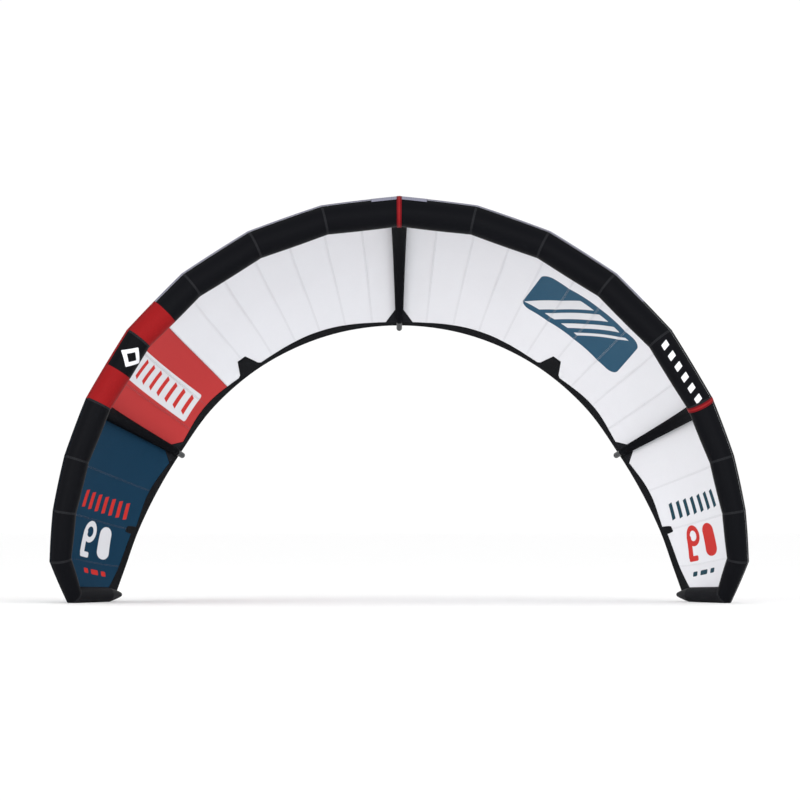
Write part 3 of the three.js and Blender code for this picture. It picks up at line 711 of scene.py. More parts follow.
def place_group():
    """Flat coordinates on the cloth round a point, with a mask of what is near it."""
    group, tree, start, end = new_group(
        "print place",
        [("Point", "Vector", None), ("Centre", "Vector", (0, 0, 0)), ("Side", "Vector", (1, 0, 0)),
         ("Down", "Vector", (0, 0, -1)), ("Reach", "Float", 0.6), ("Depth", "Float", 0.4)],
        [("X", "Float"), ("Y", "Float"), ("Near", "Float")])
    off = tree.vector("SUBTRACT", start["Point"], start["Centre"])
    tree.set(end["X"], tree.vector("DOT_PRODUCT", off, start["Side"]))
    tree.set(end["Y"], tree.vector("DOT_PRODUCT", off, start["Down"]))
    through = tree.vector("CROSS_PRODUCT", start["Side"], start["Down"])
    depth = tree.maths("ABSOLUTE", tree.vector("DOT_PRODUCT", off, through))
    near = tree.maths("LESS_THAN", tree.vector("LENGTH", off), start["Reach"])
    tree.set(end["Near"], tree.maths("MULTIPLY", near, tree.maths("LESS_THAN", depth, start["Depth"])))
    return group


def bar_group():
    """A bar with rounded corners, which may lean."""
    group, tree, start, end = new_group(
        "print bar",
        [("X", "Float", 0.0), ("Y", "Float", 0.0), ("At X", "Float", 0.0), ("At Y", "Float", 0.0),
         ("Half width", "Float", 0.05), ("Half height", "Float", 0.02), ("Corner", "Float", 0.004),
         ("Lean", "Float", 0.0), ("Edge", "Float", 0.0015)],
        [("Mask", "Float")])
    y = tree.maths("SUBTRACT", start["Y"], start["At Y"])
    x = tree.maths("SUBTRACT", tree.maths("SUBTRACT", start["X"], start["At X"]),
                   tree.maths("MULTIPLY", y, start["Lean"]))
    out = []
    for value, half in ((x, start["Half width"]), (y, start["Half height"])):
        inside = tree.maths("SUBTRACT", half, start["Corner"])
        out.append(tree.maths("MAXIMUM", tree.maths("SUBTRACT", tree.maths("ABSOLUTE", value), inside), 0.0))
    both = tree.add("ShaderNodeCombineXYZ", {0: out[0], 1: out[1]}).outputs[0]
    away = tree.maths("SUBTRACT", tree.vector("LENGTH", both), start["Corner"])
    low = tree.maths("MULTIPLY", start["Edge"], -1.0)
    tree.set(end["Mask"], tree.step(away, low, start["Edge"], 1.0, 0.0))
    return group


def ring_group():
    """An oval line."""
    group, tree, start, end = new_group(
        "print ring",
        [("X", "Float", 0.0), ("Y", "Float", 0.0), ("At X", "Float", 0.0), ("At Y", "Float", 0.0),
         ("Radius X", "Float", 0.05), ("Radius Y", "Float", 0.07), ("Line", "Float", 0.02),
         ("Lean", "Float", 0.0), ("Edge", "Float", 0.0015)],
        [("Mask", "Float")])
    y = tree.maths("SUBTRACT", start["Y"], start["At Y"])
    x = tree.maths("SUBTRACT", tree.maths("SUBTRACT", start["X"], start["At X"]),
                   tree.maths("MULTIPLY", y, start["Lean"]))
    wide = tree.maths("DIVIDE", x, start["Radius X"])
    tall = tree.maths("DIVIDE", y, start["Radius Y"])
    both = tree.add("ShaderNodeCombineXYZ", {0: wide, 1: tall}).outputs[0]
    off = tree.maths("MULTIPLY", tree.maths("SUBTRACT", tree.vector("LENGTH", both), 1.0), start["Radius X"])
    away = tree.maths("SUBTRACT", tree.maths("ABSOLUTE", off), tree.maths("MULTIPLY", start["Line"], 0.5))
    low = tree.maths("MULTIPLY", start["Edge"], -1.0)
    tree.set(end["Mask"], tree.step(away, low, start["Edge"], 1.0, 0.0))
    return group


GROUPS = {
    "weave": ("ripstop weave", ripstop_group),
    "tone": ("cloth tone", tone_group),
    "crease": ("fold creases", crease_group),
    "place": ("print place", place_group),
    "bar": ("print bar", bar_group),
    "ring": ("print ring", ring_group),
}


def shared(key):
    """A shader group, made once."""
    name, make = GROUPS[key]
    return bpy.data.node_groups.get(name) or make()


def new_material(name, specular):
    """A material with its shader, ready for colour, roughness and bump."""
    old = bpy.data.materials.get(name)
    if old is not None:
        bpy.data.materials.remove(old)
    material = bpy.data.materials.new(name)
    material.use_nodes = True
    tree = Tree(material.node_tree)
    shader = material.node_tree.nodes["Principled BSDF"]
    shader.inputs["Specular IOR Level"].default_value = specular
    return material, tree, shader


def finish_cloth(tree, shader, colour, roughness, heights):
    """Joins the colour, the roughness and the summed bumps to the shader."""
    tree.set(shader.inputs["Base Color"], colour)
    tree.set(shader.inputs["Roughness"], roughness)
    normal = None
    for height, depth in heights:
        inputs = {"Height": height, "Distance": depth, "Strength": 1.0}
        if normal is not None:
            inputs["Normal"] = normal
        normal = tree.add("ShaderNodeBump", inputs).outputs[0]
    if normal is not None:
        tree.set(shader.inputs["Normal"], normal)


def grey(tree, shade):
    return tree.add("ShaderNodeCombineColor", {0: shade, 1: shade, 2: shade}).outputs[0]


def scaled(tree, colour, shade):
    """A colour times a varying value."""
    return tree.mix(1.0, colour, grey(tree, shade), "MULTIPLY")


# Prints: plain bars, stripes and a size number. X runs towards the wing tip and Y along the cloth.

WHITE_INK = (0.74, 0.75, 0.78)
RED_INK = (0.58, 0.035, 0.030)
TEAL_INK = (0.022, 0.085, 0.150)
DARK_INK = (0.010, 0.050, 0.075)
TUBE_INK = (0.0041, 0.0044, 0.0058)


def bar(x, y, half_x, half_y, corner=0.004, lean=0.0, ink=None):
    return {"kind": "bar", "At X": x, "At Y": y, "Half width": half_x, "Half height": half_y,
            "Corner": corner, "Lean": lean, "ink": ink}


def oval(x, y, radius_x, radius_y, line):
    return {"kind": "ring", "At X": x, "At Y": y, "Radius X": radius_x, "Radius Y": radius_y, "Line": line,
            "ink": None}


BLOCK = [bar(0.0, -0.015, 0.36, 0.235, 0.07)]
BLOCK += [bar(x, -0.01, half, 0.175, 0.004, -0.75, WHITE_INK)
          for x, half in ((-0.17, 0.050), (-0.045, 0.035), (0.06, 0.024), (0.145, 0.014))]
LABEL = [bar(0.0, -0.06, 0.100, 0.43, 0.02)]
LABEL += [bar(0.0, -0.33 + 0.105 * k, 0.062, 0.020, 0.003, 0.35, RED_INK) for k in range(7)]
SIZE_NUMBER = [
    oval(-0.052, 0.072, 0.053, 0.043, 0.036),
    bar(0.022, 0.113, 0.082, 0.019, 0.012, -0.12),
    bar(0.102, 0.090, 0.019, 0.038, 0.012),
    bar(0.0, -0.072, 0.110, 0.052, 0.050),
]
TIP_ROW = [bar(-0.245, -0.21 + 0.07 * k, 0.055, 0.016, 0.003, 0.30) for k in range(7)]
TIP_MARKS = [bar(0.215, 0.075 * k, 0.018, 0.018 if k else 0.030, 0.008) for k in (-1, 0, 1)]
DIAMOND = [bar(0.0, 0.0, 0.046, 0.046, 0.006), bar(0.0, 0.0, 0.024, 0.024, 0.003, 0.0, TUBE_INK)]
DASHES = [bar(-0.175 + 0.07 * k, 0.0, 0.017, 0.020, 0.003, 0.35) for k in range(6)]

# Where the canopy's prints lie: the signed station, the share of the sail's curve, whether Y runs
# along it or against it, and how far the print reaches
CLOTH_PRINTS = {
    "block": (2.937, 0.612, 1, 0.6),
    "label": (-4.198, 0.679, 1, 0.7),
    "right tip": (7.47, 0.685, 1, 0.5),
    "left tip": (-7.47, 0.685, -1, 0.5),
}
# Where the tube's prints lie: the signed station, the angle round the tube, the turn and the reach
TUBE_PRINTS = {"diamond": (-4.26, 108, 45, 0.12), "dashes": (4.53, 86, 0, 0.3)}
PRINT_STEP = 0.02
CLOTH_PRINT_DEPTH = 0.4
TUBE_PRINT_DEPTH = 0.07


def print_place(tree, point, centre, side, down, reach, depth):
    """Coordinates along two directions of the cloth, which need not be square to each other."""
    side, down = unit(side), unit(down)
    both = side @ down
    first = (side - both * down) / (1 - both * both)
    second = (down - both * side) / (1 - both * both)
    return tree.group(shared("place"), Point=point, Centre=tuple(centre + SHIFT), Side=tuple(first),
                      Down=tuple(second), Reach=reach, Depth=depth)


def sail_point(station, share):
    return sail_points(station, share, 0.0)[0][0]


def cloth_place(tree, point, name):
    """A print's place on the canopy. X runs to the tip and Y along the panel."""
    station, share, flip, reach = CLOTH_PRINTS[name]
    step = math.copysign(PRINT_STEP, station)
    side = sail_point(station + step, share) - sail_point(station - step, share)
    down = sail_point(station, share + PRINT_STEP) - sail_point(station, share - PRINT_STEP)
    centre = sail_point(station, share)
    return print_place(tree, point, centre, side, down * flip, reach, CLOTH_PRINT_DEPTH)


def tube_place(tree, point, name):
    """A print's place on the leading edge. X runs along the tube and Y round it."""
    station, angle, turn, reach = TUBE_PRINTS[name]
    at = abs(station)
    centre = tube_ring(at, angle)[0]
    side = SEGMENT[int(at)]
    down = unit(tube_ring(at, angle + 5)[0] - tube_ring(at, angle - 5)[0])
    a = math.radians(turn)
    first = side * math.cos(a) + down * math.sin(a)
    second = down * math.cos(a) - side * math.sin(a)
    centre, first, second = (mirrored(v, station) for v in (centre, first, second))
    return print_place(tree, point, centre, first, second, reach, TUBE_PRINT_DEPTH)


def lay_ink(tree, colour, place, shapes, ink):
    """Draws the shapes one over the other. A shape's own ink goes before the given one."""
    for shape in shapes:
        inputs = {key: value for key, value in shape.items() if key not in ("kind", "ink")}
        node = tree.add("ShaderNodeGroup", node_tree=shared(shape["kind"]))
        for key, value in {**inputs, "X": place["X"], "Y": place["Y"]}.items():
            tree.set(node.inputs[key], value)
        mask = tree.maths("MULTIPLY", node.outputs["Mask"], place["Near"])
        colour = tree.mix(mask, colour, shape["ink"] or ink)
    return colour


def white_prints(tree, point, colour):
    colour = lay_ink(tree, colour, cloth_place(tree, point, "block"), BLOCK, TEAL_INK)
    place = cloth_place(tree, point, "right tip")
    colour = lay_ink(tree, colour, place, SIZE_NUMBER, RED_INK)
    return lay_ink(tree, colour, place, TIP_ROW + TIP_MARKS, DARK_INK)


def red_prints(tree, point, colour):
    return lay_ink(tree, colour, cloth_place(tree, point, "label"), LABEL, WHITE_INK)


def teal_prints(tree, point, colour):
    place = cloth_place(tree, point, "left tip")
    colour = lay_ink(tree, colour, place, SIZE_NUMBER, WHITE_INK)
    return lay_ink(tree, colour, place, TIP_ROW + TIP_MARKS, RED_INK)


def tube_prints(tree, point, colour):
    colour = lay_ink(tree, colour, tube_place(tree, point, "diamond"), DIAMOND, WHITE_INK)
    return lay_ink(tree, colour, tube_place(tree, point, "dashes"), DASHES, WHITE_INK)


HEM_WIDTH = 0.085
HEM_COLOUR_STATION = 3.5
MASK_EDGE = 0.001
# Painted shade on the doubled cloth at the canopy's seams, which lets less light through than a single layer
SEAM_PAINTED_SHADE = 0.05
GRID_SHADE = 0.03
TRIM_GRID_SHADE = 0.25
CREASE_BUMP = 0.0002
# Painted highlight: past station 9 the tip tubes' colour is made half as light again, to stand in for the light
# on their tops
TIP_HIGHLIGHT_START = 8.95
TIP_HIGHLIGHT_END = 9.05
TIP_PAINTED_HIGHLIGHT = 0.5
RED_SECTIONS = ((-4.0, -3.5), (-5.0, -4.5))

# Each cloth's thread and the squares of its thicker threads in metres, the strength of its slow and
# its fine tone, and how far its weave stands out
WEAVES = {
    "canopy": {"thread": 0.0009, "square": 0.006, "broad": 0.05, "fine": 0.02, "bump": 0.00005},
    "tube": {"thread": 0.0012, "square": 0.05, "broad": 0.10, "fine": 0.10, "bump": 0.00012},
    "strut cloth": {"thread": 0.0012, "square": 0.05, "broad": 0.08, "fine": 0.12, "bump": 0.00012},
    "strut tail": {"thread": 0.0016, "square": 0.008, "broad": 0.08, "fine": 0.12, "bump": 0.0002},
    "trailing edge webbing": {"thread": 0.0025, "square": 0.0125, "broad": 0.1, "fine": 0.5, "bump": 0.0004},
    "patch cloth": {"thread": 0.0014, "square": 0.03, "broad": 0.08, "fine": 0.12, "bump": 0.00015},
    "ring": {"thread": 0.0018, "square": 0.007, "broad": 0.05, "fine": 0.12, "bump": 0.0003},
    "seam tape": {"thread": 0.001, "square": 0.02, "broad": 0.08, "fine": 0.12, "bump": 0.0001},
    "wear patch": {"thread": 0.001, "square": 0.012, "broad": 0.08, "fine": 0.12, "bump": 0.0001},
}
# How rough and how shiny each cloth is
FINISHES = {
    "canopy_white": (0.5, 0.1),
    "canopy_red": (0.5, 0.03),
    "canopy_teal": (0.5, 0.02),
    "tube": (0.46, 0.03),
    "strut cloth": (0.6, 0.01),
    "strut tail": (0.4, 0.4),
    "trailing edge webbing": (0.62, 0.05),
    "patch cloth": (0.55, 0.03),
    "ring": (0.5, 0.05),
    "seam tape": (0.5, 0.03),
    "wear patch": (0.55, 0.1),
    "thread": (0.55, 0.1),
    "floor": (0.8, 0.1),
}
MARK_ROUGHNESS = 0.08
RIB_ROUGHNESS = 0.1


def woven(tree, key):
    """The weave and the tone that every cloth begins with."""
    row = WEAVES[key]
    weave = tree.group(shared("weave"), Map=tree.cloth_map(), Thread=row["thread"], Square=row["square"])
    tone = tree.group(shared("tone"), Point=tree.place(), Broad=row["broad"], Fine=row["fine"])
    return weave, tone


def canopy_material(key, name, base, side_hem, prints):
    """Coated ripstop cloth with doubled seams darkened by painted shade, and a wear strip over the hem."""
    settings = bpy.context.scene.kite_canopy
    roughness, specular = FINISHES[key]
    material, tree, shader = new_material(name, specular)
    point = tree.place()
    weave, tone = woven(tree, "canopy")
    crease = tree.group(shared("crease"), Point=point)
    colour = prints(tree, point, tuple(base))
    half = settings.seam_width / 2
    # Painted shade: the doubled cloth at each seam is darkened by 5 percent, for the lesser light passing
    # through two layers
    seam = tree.step(tree.value_of("seam_gap"), half, half + MASK_EDGE, 1.0, 0.0)
    shade = tree.maths("MULTIPLY", tone["Shade"], tree.less(seam, SEAM_PAINTED_SHADE))
    shade = tree.maths("MULTIPLY", shade, tree.less(weave["Grid"], GRID_SHADE))
    colour = scaled(tree, colour, shade)
    near_hem = tree.step(tree.value_of("hem_gap"), HEM_WIDTH, HEM_WIDTH + MASK_EDGE, 1.0, 0.0)
    hem = tree.maths("MULTIPLY", tree.value_of("outer_face"), near_hem)
    away = tree.maths("ABSOLUTE", tree.value_of("station"))
    beyond = tree.maths("GREATER_THAN", away, HEM_COLOUR_STATION)
    colour = tree.mix(hem, colour, tree.mix(beyond, tuple(settings.hem), tuple(side_hem)))
    finish_cloth(tree, shader, colour, tree.more(tone["Shade"], MARK_ROUGHNESS, roughness),
                 [(weave["Height"], WEAVES["canopy"]["bump"]), (crease["Height"], CREASE_BUMP)])
    return material


def tube_material():
    """Heavy plain-woven cloth of the inflated tubes, with its red sections on the left side and a painted
    highlight on the tip tubes.
    """
    settings = bpy.context.scene.kite_tube
    roughness, specular = FINISHES["tube"]
    material, tree, shader = new_material("tube cloth", specular)
    weave, tone = woven(tree, "tube")
    station = tree.value_of("station")
    sections = [tree.between(station, low, high) for low, high in RED_SECTIONS]
    # Painted highlight: the tube's colour is lightened by half past station 9, for the light falling on the tip
    # tubes' tops
    tip = tree.step(tree.maths("ABSOLUTE", station), TIP_HIGHLIGHT_START, TIP_HIGHLIGHT_END, 0.0, 1.0)
    plain = scaled(tree, tuple(settings.cloth), tree.more(tip, TIP_PAINTED_HIGHLIGHT))
    colour = tree.mix(tree.maths("MAXIMUM", *sections), plain, tuple(settings.red))
    colour = scaled(tree, tube_prints(tree, tree.place(), colour), tone["Shade"])
    finish_cloth(tree, shader, colour, tree.more(tone["Marks"], MARK_ROUGHNESS, roughness),
                 [(weave["Height"], WEAVES["tube"]["bump"])])
    return material


def plain_cloth(name, base):
    """A woven trim in one colour, with the weave and the finish that its name gives."""
    roughness, specular = FINISHES[name]
    material, tree, shader = new_material(name, specular)
    weave, tone = woven(tree, name)
    shade = tree.maths("MULTIPLY", tone["Shade"], tree.more(weave["Grid"], TRIM_GRID_SHADE))
    finish_cloth(tree, shader, scaled(tree, tuple(base), shade),
                 tree.more(tone["Marks"], MARK_ROUGHNESS, roughness), [(weave["Height"], WEAVES[name]["bump"])])
    return material


# Leading edge

SEAM_STEPS = (0.0, 0.012, 0.035, 0.07, 0.12, 0.19, 0.27, 0.36, 0.45)
TAPER_STEPS = ((0.0, 1.0), (0.050, 0.79), (0.105, 0.52), (0.140, 0.30), (0.146, 0.20), (0.149, 0.08))
TAPER_RINGS = 16
TAPER_LENGTH = 0.14
PUCKER_REACH = 0.05
PUCKER_START = 0.15
TUBE_MAP_RADIUS = 0.075


def segment_shares():
    rising = list(SEAM_STEPS)
    return rising + [1 - s for s in rising[:0:-1]]


def pucker_at(station, angles):
    """Small folds beside each seam, on the side of the tube where its cloth is slack."""
    depth = bpy.context.scene.kite_tube.pucker
    seam = int(round(station))
    if seam in (0, END):
        return np.zeros(len(angles))
    near = min(abs(station - seam) * SEGMENT_LENGTH[min(int(station), END - 1)] / PUCKER_REACH, 3)
    a = np.radians(angles)
    slack = ((1 - np.cos(a)) / 2) ** 2
    folds = np.sin(a * 23 + seam * 1.7) * 0.6 + np.sin(a * 14 - seam * 2.3) * 0.4
    rise = 1.0 if near > PUCKER_START else near / PUCKER_START
    return depth * slack * folds * math.exp(-near * near) * rise


def leading_edge_rings():
    sides = bpy.context.scene.kite_tube.sides
    angles = HEM_ANGLE - np.arange(sides) * 360 / sides
    stations, rings = [], []
    for i in range(END):
        for share in segment_shares() + ([1.0] if i == END - 1 else []):
            station = i + share
            stations.append(station)
            rings.append(tube_ring(station, angles, pucker_at(station, angles)))
    along = list(np.interp(stations, np.arange(END + 1), ALONG))
    last = rings[-1]
    lengths, ratios = np.array(TAPER_STEPS).T
    for length in sorted(set(np.linspace(0, TAPER_LENGTH, TAPER_RINGS)[1:]) | set(lengths[-2:])):
        stations.append(END + length)
        along.append(ALONG[END] + length)
        ratio = np.interp(length, lengths, ratios)
        rings.append(AXIS[END] + (last - AXIS[END]) * ratio + SEGMENT[END - 1] * length)
    rings = np.array(rings)
    rings[:, :, 2] = np.maximum(rings[:, :, 2], 0.0)
    return np.array(stations), np.array(along), rings, angles


def build_leading_edge():
    stations, lengths, right, angles = leading_edge_rings()
    left = mirrored(right[:0:-1], -1)
    rings = np.concatenate([left, right])
    signed = np.concatenate([-stations[:0:-1], stations])
    along = np.concatenate([-lengths[:0:-1], lengths])
    turn = np.radians(HEM_ANGLE - np.arange(len(angles) + 1) * 360 / len(angles))
    around = np.tile(turn * TUBE_MAP_RADIUS, (len(rings), 1))
    values = {"station": np.repeat(signed[:, None], len(angles), axis=1)}
    made = closed_tube("leading_edge", rings, along, around, values)
    nodes = [f"le_tube_{side}_{i:02d}" for side in ("right", "left") for i in range(1, END + 1)]
    paint(made, tube_material(), "tube_cloth", *nodes)
    return made


# Canopy

PANEL_SEAMS = [k / 2 for k in range(1, 11)] + [6, 7, 8]
ALL_SEAMS = sorted({0.0} | {side * seam for seam in PANEL_SEAMS + [TIP] for side in (-1, 1)})
SEAM_SHOULDER = 0.0008
SEAM_EDGE = 0.0001
WRAP_STEPS = 7
SAIL_STEP_EASING = 1.15
CENTRE_GAP = 0.1


def signed_stations(start, end):
    """Columns of the canopy's mesh, closer beside each seam."""
    settings = bpy.context.scene.kite_canopy
    half = settings.seam_width / 2
    columns = set()
    inside = [s for s in ALL_SEAMS if start - 1e-6 <= s <= end + 1e-6]
    for low, high in zip(inside[:-1], inside[1:]):
        count = int(settings.panel_columns * (high - low) * 2 + 0.5)
        for k in range(count + 1):
            columns.add(round(low + (high - low) * k / count, 6))
    for seam in inside:
        reach = (half + SEAM_SHOULDER, half) if abs(seam) > 1e-6 else ()
        length = SEGMENT_LENGTH[min(int(abs(seam)), END - 1)]
        for off in reach:
            for side in (-1, 1):
                at = seam + side * off / length
                if start < at < end:
                    columns.add(round(at, 6))
    return sorted(columns)


def nearest_seam(station):
    size = abs(station)
    if size < 5:
        return math.copysign(round(size * 2) / 2, station)
    return math.copysign(round(size), station)


def canopy_rows():
    wrap = list(np.linspace(0, WRAP_ROWS, WRAP_STEPS))
    steps = bpy.context.scene.kite_canopy.sail_steps
    share = (np.arange(1, steps + 1) / steps) ** SAIL_STEP_EASING
    return np.array(wrap + list(WRAP_ROWS + SAIL_ROWS * share))


def build_canopy_piece(row, material):
    settings = bpy.context.scene.kite_canopy
    rows = canopy_rows()
    stations = signed_stations(row["from"], row["to"])
    inner = np.array([signed_rows(s, rows) for s in stations])
    normals = np.array([sail_normals(s, rows) for s in stations])
    seams = np.array([nearest_seam(s) for s in stations])
    lines = {s: signed_rows(s, rows) for s in set(seams)}
    gaps = np.array([np.linalg.norm(inner[j] - lines[s], axis=1) for j, s in enumerate(seams)])
    gaps[np.abs(seams) < 1e-6] = CENTRE_GAP
    proud = np.where(gaps < settings.seam_width / 2 + SEAM_EDGE, settings.seam_rise, 0.0)[:, :, None]
    clear = np.clip((rows - WRAP_ROWS) / 0.5, 0, 1)[None, :, None]
    low = inner - normals * proud * clear
    high = inner + normals * (settings.thickness + proud)
    down = grid_lengths(inner)
    side = np.sign(np.array(stations) - seams)[:, None] * gaps
    u = side + seams[:, None] * 2.0
    places = np.repeat(np.array(stations)[:, None], len(rows), axis=1)
    values = {"seam_gap": (gaps, gaps), "hem_gap": (down, down), "station": (places, places),
              "outer_face": (np.zeros(gaps.shape), np.ones(gaps.shape))}
    made = cloth_sheet(row["name"], low, high, u, down, values)
    nodes = [f"canopy_{side}_{i:02d}" for side, first, last in row["panels"] for i in range(first, last + 1)]
    paint(made, material, row["name"], *nodes)
    return made


def build_canopy():
    settings = bpy.context.scene.kite_canopy
    tube = bpy.context.scene.kite_tube
    paints = (
        canopy_material("canopy_white", "white canopy cloth", settings.white, tube.cloth, white_prints),
        canopy_material("canopy_red", "red canopy cloth", settings.red, tube.red, red_prints),
        canopy_material("canopy_teal", "teal canopy cloth", settings.teal, tube.cloth, teal_prints))
    return [build_canopy_piece(row, cloth) for row, cloth in zip(CANOPY_PIECES, paints)]


# Struts

STRUT_SIDES = 48
STRUT_STEP = 0.01
STRUT_STEPS = 60
STRUT_FRONT_STEPS = 24
STRUT_ROWS = 48
STRUT_ROW_EASING = 1.1
STRUT_MAP_RADIUS = 0.035
TAIL_SIDES = 32
TAIL_STEPS = 16
TAIL_CAP_ANGLES = (10, 20, 30, 40, 50, 60, 70, 80, 86)
TAIL_GAP = 0.0006
TAIL_DIAMETER = 0.034
TAIL_OVERHANG = 0.020
TAIL_DROP = 0.001
PATCH_START = 0.912
PATCH_FRONT_WIDTH = 0.07
PATCH_REAR_WIDTH = 0.25
PATCH_HOLD_BACK = 0.0003
STRUT_CLEARANCE = 0.0006
PATCH_CLEARANCE = 0.0013
RAMP_START = 0.81
RAMP_LENGTH = 0.08


def trim_depth():
    trim = bpy.context.scene.kite_trim
    return trim.gap + trim.cloth


def strut_radius(strut, t):
    return (strut["front"] + (strut["rear"] - strut["front"]) * t / STRUT_END) / 2


def strut_clearance(t):
    raised = trim_depth() + PATCH_CLEARANCE
    ramp = min(max((t - RAMP_START) / RAMP_LENGTH, 0), 1)
    return STRUT_CLEARANCE + (raised - STRUT_CLEARANCE) * ramp


def strut_frame(strut, t):
    """Centre, top and side of a strut at a share of the sail's curve."""
    centres = []
    for share in (max(t - STRUT_STEP, 0), t, min(t + STRUT_STEP, 1)):
        depth = strut_clearance(share) + strut_radius(strut, share)
        point, normal = sail_points(strut["seam"], share, -depth)
        centres.append((point[0], normal[0]))
    along = unit(centres[2][0] - centres[0][0])
    side = unit(np.cross(along, centres[1][1]))
    return centres[1][0], np.cross(side, along), side


def round_ring(centre, top, side, radius, sides=STRUT_SIDES):
    a = np.arange(sides) * 2 * math.pi / sides
    return centre + radius * (np.cos(a)[:, None] * top + np.sin(a)[:, None] * side)


def tube_depth(point):
    """How far a point lies outside the leading edge's round surface."""
    best = 9.0
    for i in range(END):
        for side in (1, -1):
            at = mirrored(point, side) - AXIS[i]
            share = min(max(at @ SEGMENT[i] / SEGMENT_LENGTH[i], 0), 1)
            away = np.linalg.norm(at - SEGMENT[i] * share * SEGMENT_LENGTH[i])
            best = min(best, away - (TUBE[i] + (TUBE[i + 1] - TUBE[i]) * share) / 2)
    return best


def strut_grid(strut):
    """Generators from the tube's surface to the strut's rear, one column each."""
    shares = np.linspace(0.0, STRUT_END, STRUT_STEPS)
    frames = [strut_frame(strut, t) for t in shares]
    rings = np.array([round_ring(c, top, side, strut_radius(strut, t))
                      for (c, top, side), t in zip(frames, shares)])
    columns = []
    bulge = bpy.context.scene.kite_tube.bulge
    for s in range(STRUT_SIDES):
        line = rings[:, s]
        depth = np.array([tube_depth(p) for p in line[:STRUT_FRONT_STEPS]]) - bulge
        first = int(np.argmax(depth > 0)) if (depth > 0).any() else 0
        if first > 0:
            share = -depth[first - 1] / (depth[first] - depth[first - 1])
            start = first - 1 + share
        else:
            start = 0.0
        places = start + (len(shares) - 1 - start) * np.linspace(0, 1, STRUT_ROWS) ** STRUT_ROW_EASING
        index = np.minimum(places.astype(int), len(shares) - 2)
        blend = (places - index)[:, None]
        columns.append(line[index] * (1 - blend) + line[index + 1] * blend)
    return np.transpose(np.array(columns), (1, 0, 2))


def build_struts():
    made = []
    cloth = plain_cloth("strut cloth", bpy.context.scene.kite_tube.strut)
    for strut in STRUTS:
        rings = mirrored(strut_grid(strut), strut["side"])
        down = np.concatenate([[0], np.cumsum(np.linalg.norm(np.diff(rings[:, 0], axis=0), axis=1))])
        turn = np.arange(STRUT_SIDES + 1) * 2 * math.pi / STRUT_SIDES
        around = np.tile(turn * STRUT_MAP_RADIUS, (len(rings), 1))
        piece = closed_tube("strut_" + strut["name"] + "_cloth", rings, down, around)
        paint(piece, cloth, "strut_cloth", "strut_" + strut["name"])
        made.append(piece)
    return made


def build_tails():
    trim = bpy.context.scene.kite_trim
    cloth = plain_cloth("strut tail", trim.tail)
    radius = TAIL_DIAMETER / 2
    made = []
    for strut in STRUTS:
        centre, top = strut_frame(strut, STRUT_END)[:2]
        depth = strut_clearance(1.0) + radius + TAIL_DROP
        end = sail_points(strut["seam"], 1.0, -depth)[0][0]
        direction = unit(end - centre)
        end = end + direction * (TAIL_OVERHANG - radius)
        start = centre + direction * TAIL_GAP
        side = unit(np.cross(direction, top))
        top = np.cross(side, direction)
        rings, down = [], []
        for share in np.linspace(0, 1, TAIL_STEPS):
            rings.append(round_ring(start + (end - start) * share, top, side, radius, TAIL_SIDES))
            down.append(share * np.linalg.norm(end - start))
        straight = down[-1]
        for angle in np.radians(TAIL_CAP_ANGLES):
            at = end + direction * math.sin(angle) * radius
            rings.append(round_ring(at, top, side, math.cos(angle) * radius, TAIL_SIDES))
            down.append(straight + angle * radius)
        rings = mirrored(np.array(rings), strut["side"])
        turn = np.arange(TAIL_SIDES + 1) * 2 * math.pi / TAIL_SIDES
        around = np.tile(turn * radius, (len(rings), 1))
        piece = closed_tube("strut_tail_" + strut["name"] + "_end", rings, down, around)
        paint(piece, cloth, "tail_cloth", "strut_tail_" + strut["name"])
        made.append(piece)
    return made


# Trailing edge band and patches

BAND_ANCHORS = (0, 3, 5, 7, 9)
BAND_LAST_STATION = 8.93
BAND_TIP_POWER = 3
BAND_STEP = 0.05
NEAR_TAIL = 0.985
BAND_CLOSEST = 0.0007
FOLD_STEPS = 6
LEAF_STEPS = 8
PATCH_STEPS = 17
PATCH_MAP_HALF = 0.08


def chord_length(station):
    ends = sail_points(station, [0.0, 1.0], 0.0)[0]
    return float(np.linalg.norm(ends[1] - ends[0]))


def band_width(station):
    """The band swells between its struts and battens, and flares at the end of the tip."""
    trim = bpy.context.scene.kite_trim
    k = next(n for n, anchor in enumerate(BAND_ANCHORS) if anchor > station)
    low, high = BAND_ANCHORS[k - 1], BAND_ANCHORS[k]
    if high == BAND_ANCHORS[-1]:
        return trim.tip_width + trim.tip_growth * ((station - low) / (high - low)) ** BAND_TIP_POWER
    return trim.band_width + trim.band_swell * math.sin(math.pi * (station - low) / (high - low)) ** 2


def batten_depth(station):
    depth = 0.0
    for row in BATTENS:
        share = (row["base"] - abs(station - row["seam"])) / (row["base"] - row["top"])
        share = min(max(share, 0), 1)
        depth = max(depth, row["depth"] * (math.sqrt(share * (2 - share)) if row["round"] else share))
    return depth


def share_before_tail(width, station):
    return 1 - width / (3 * TAIL_REACH * chord_length(station))


def band_stations():
    stations = list(np.arange(0, BAND_LAST_STATION, BAND_STEP))
    for row in BATTENS:
        for k in np.linspace(0, 1, 9) ** 2 if row["round"] else (0.0, 1.0):
            reach = row["base"] + (row["top"] - row["base"]) * k
            stations += [row["seam"] - reach, row["seam"] + reach]
    stations.append(BAND_LAST_STATION)
    kept = []
    for s in sorted(stations):
        if not kept or s - kept[-1] > BAND_CLOSEST:
            kept.append(s)
    return kept


def band_reach(station):
    return max(band_width(station), batten_depth(station))


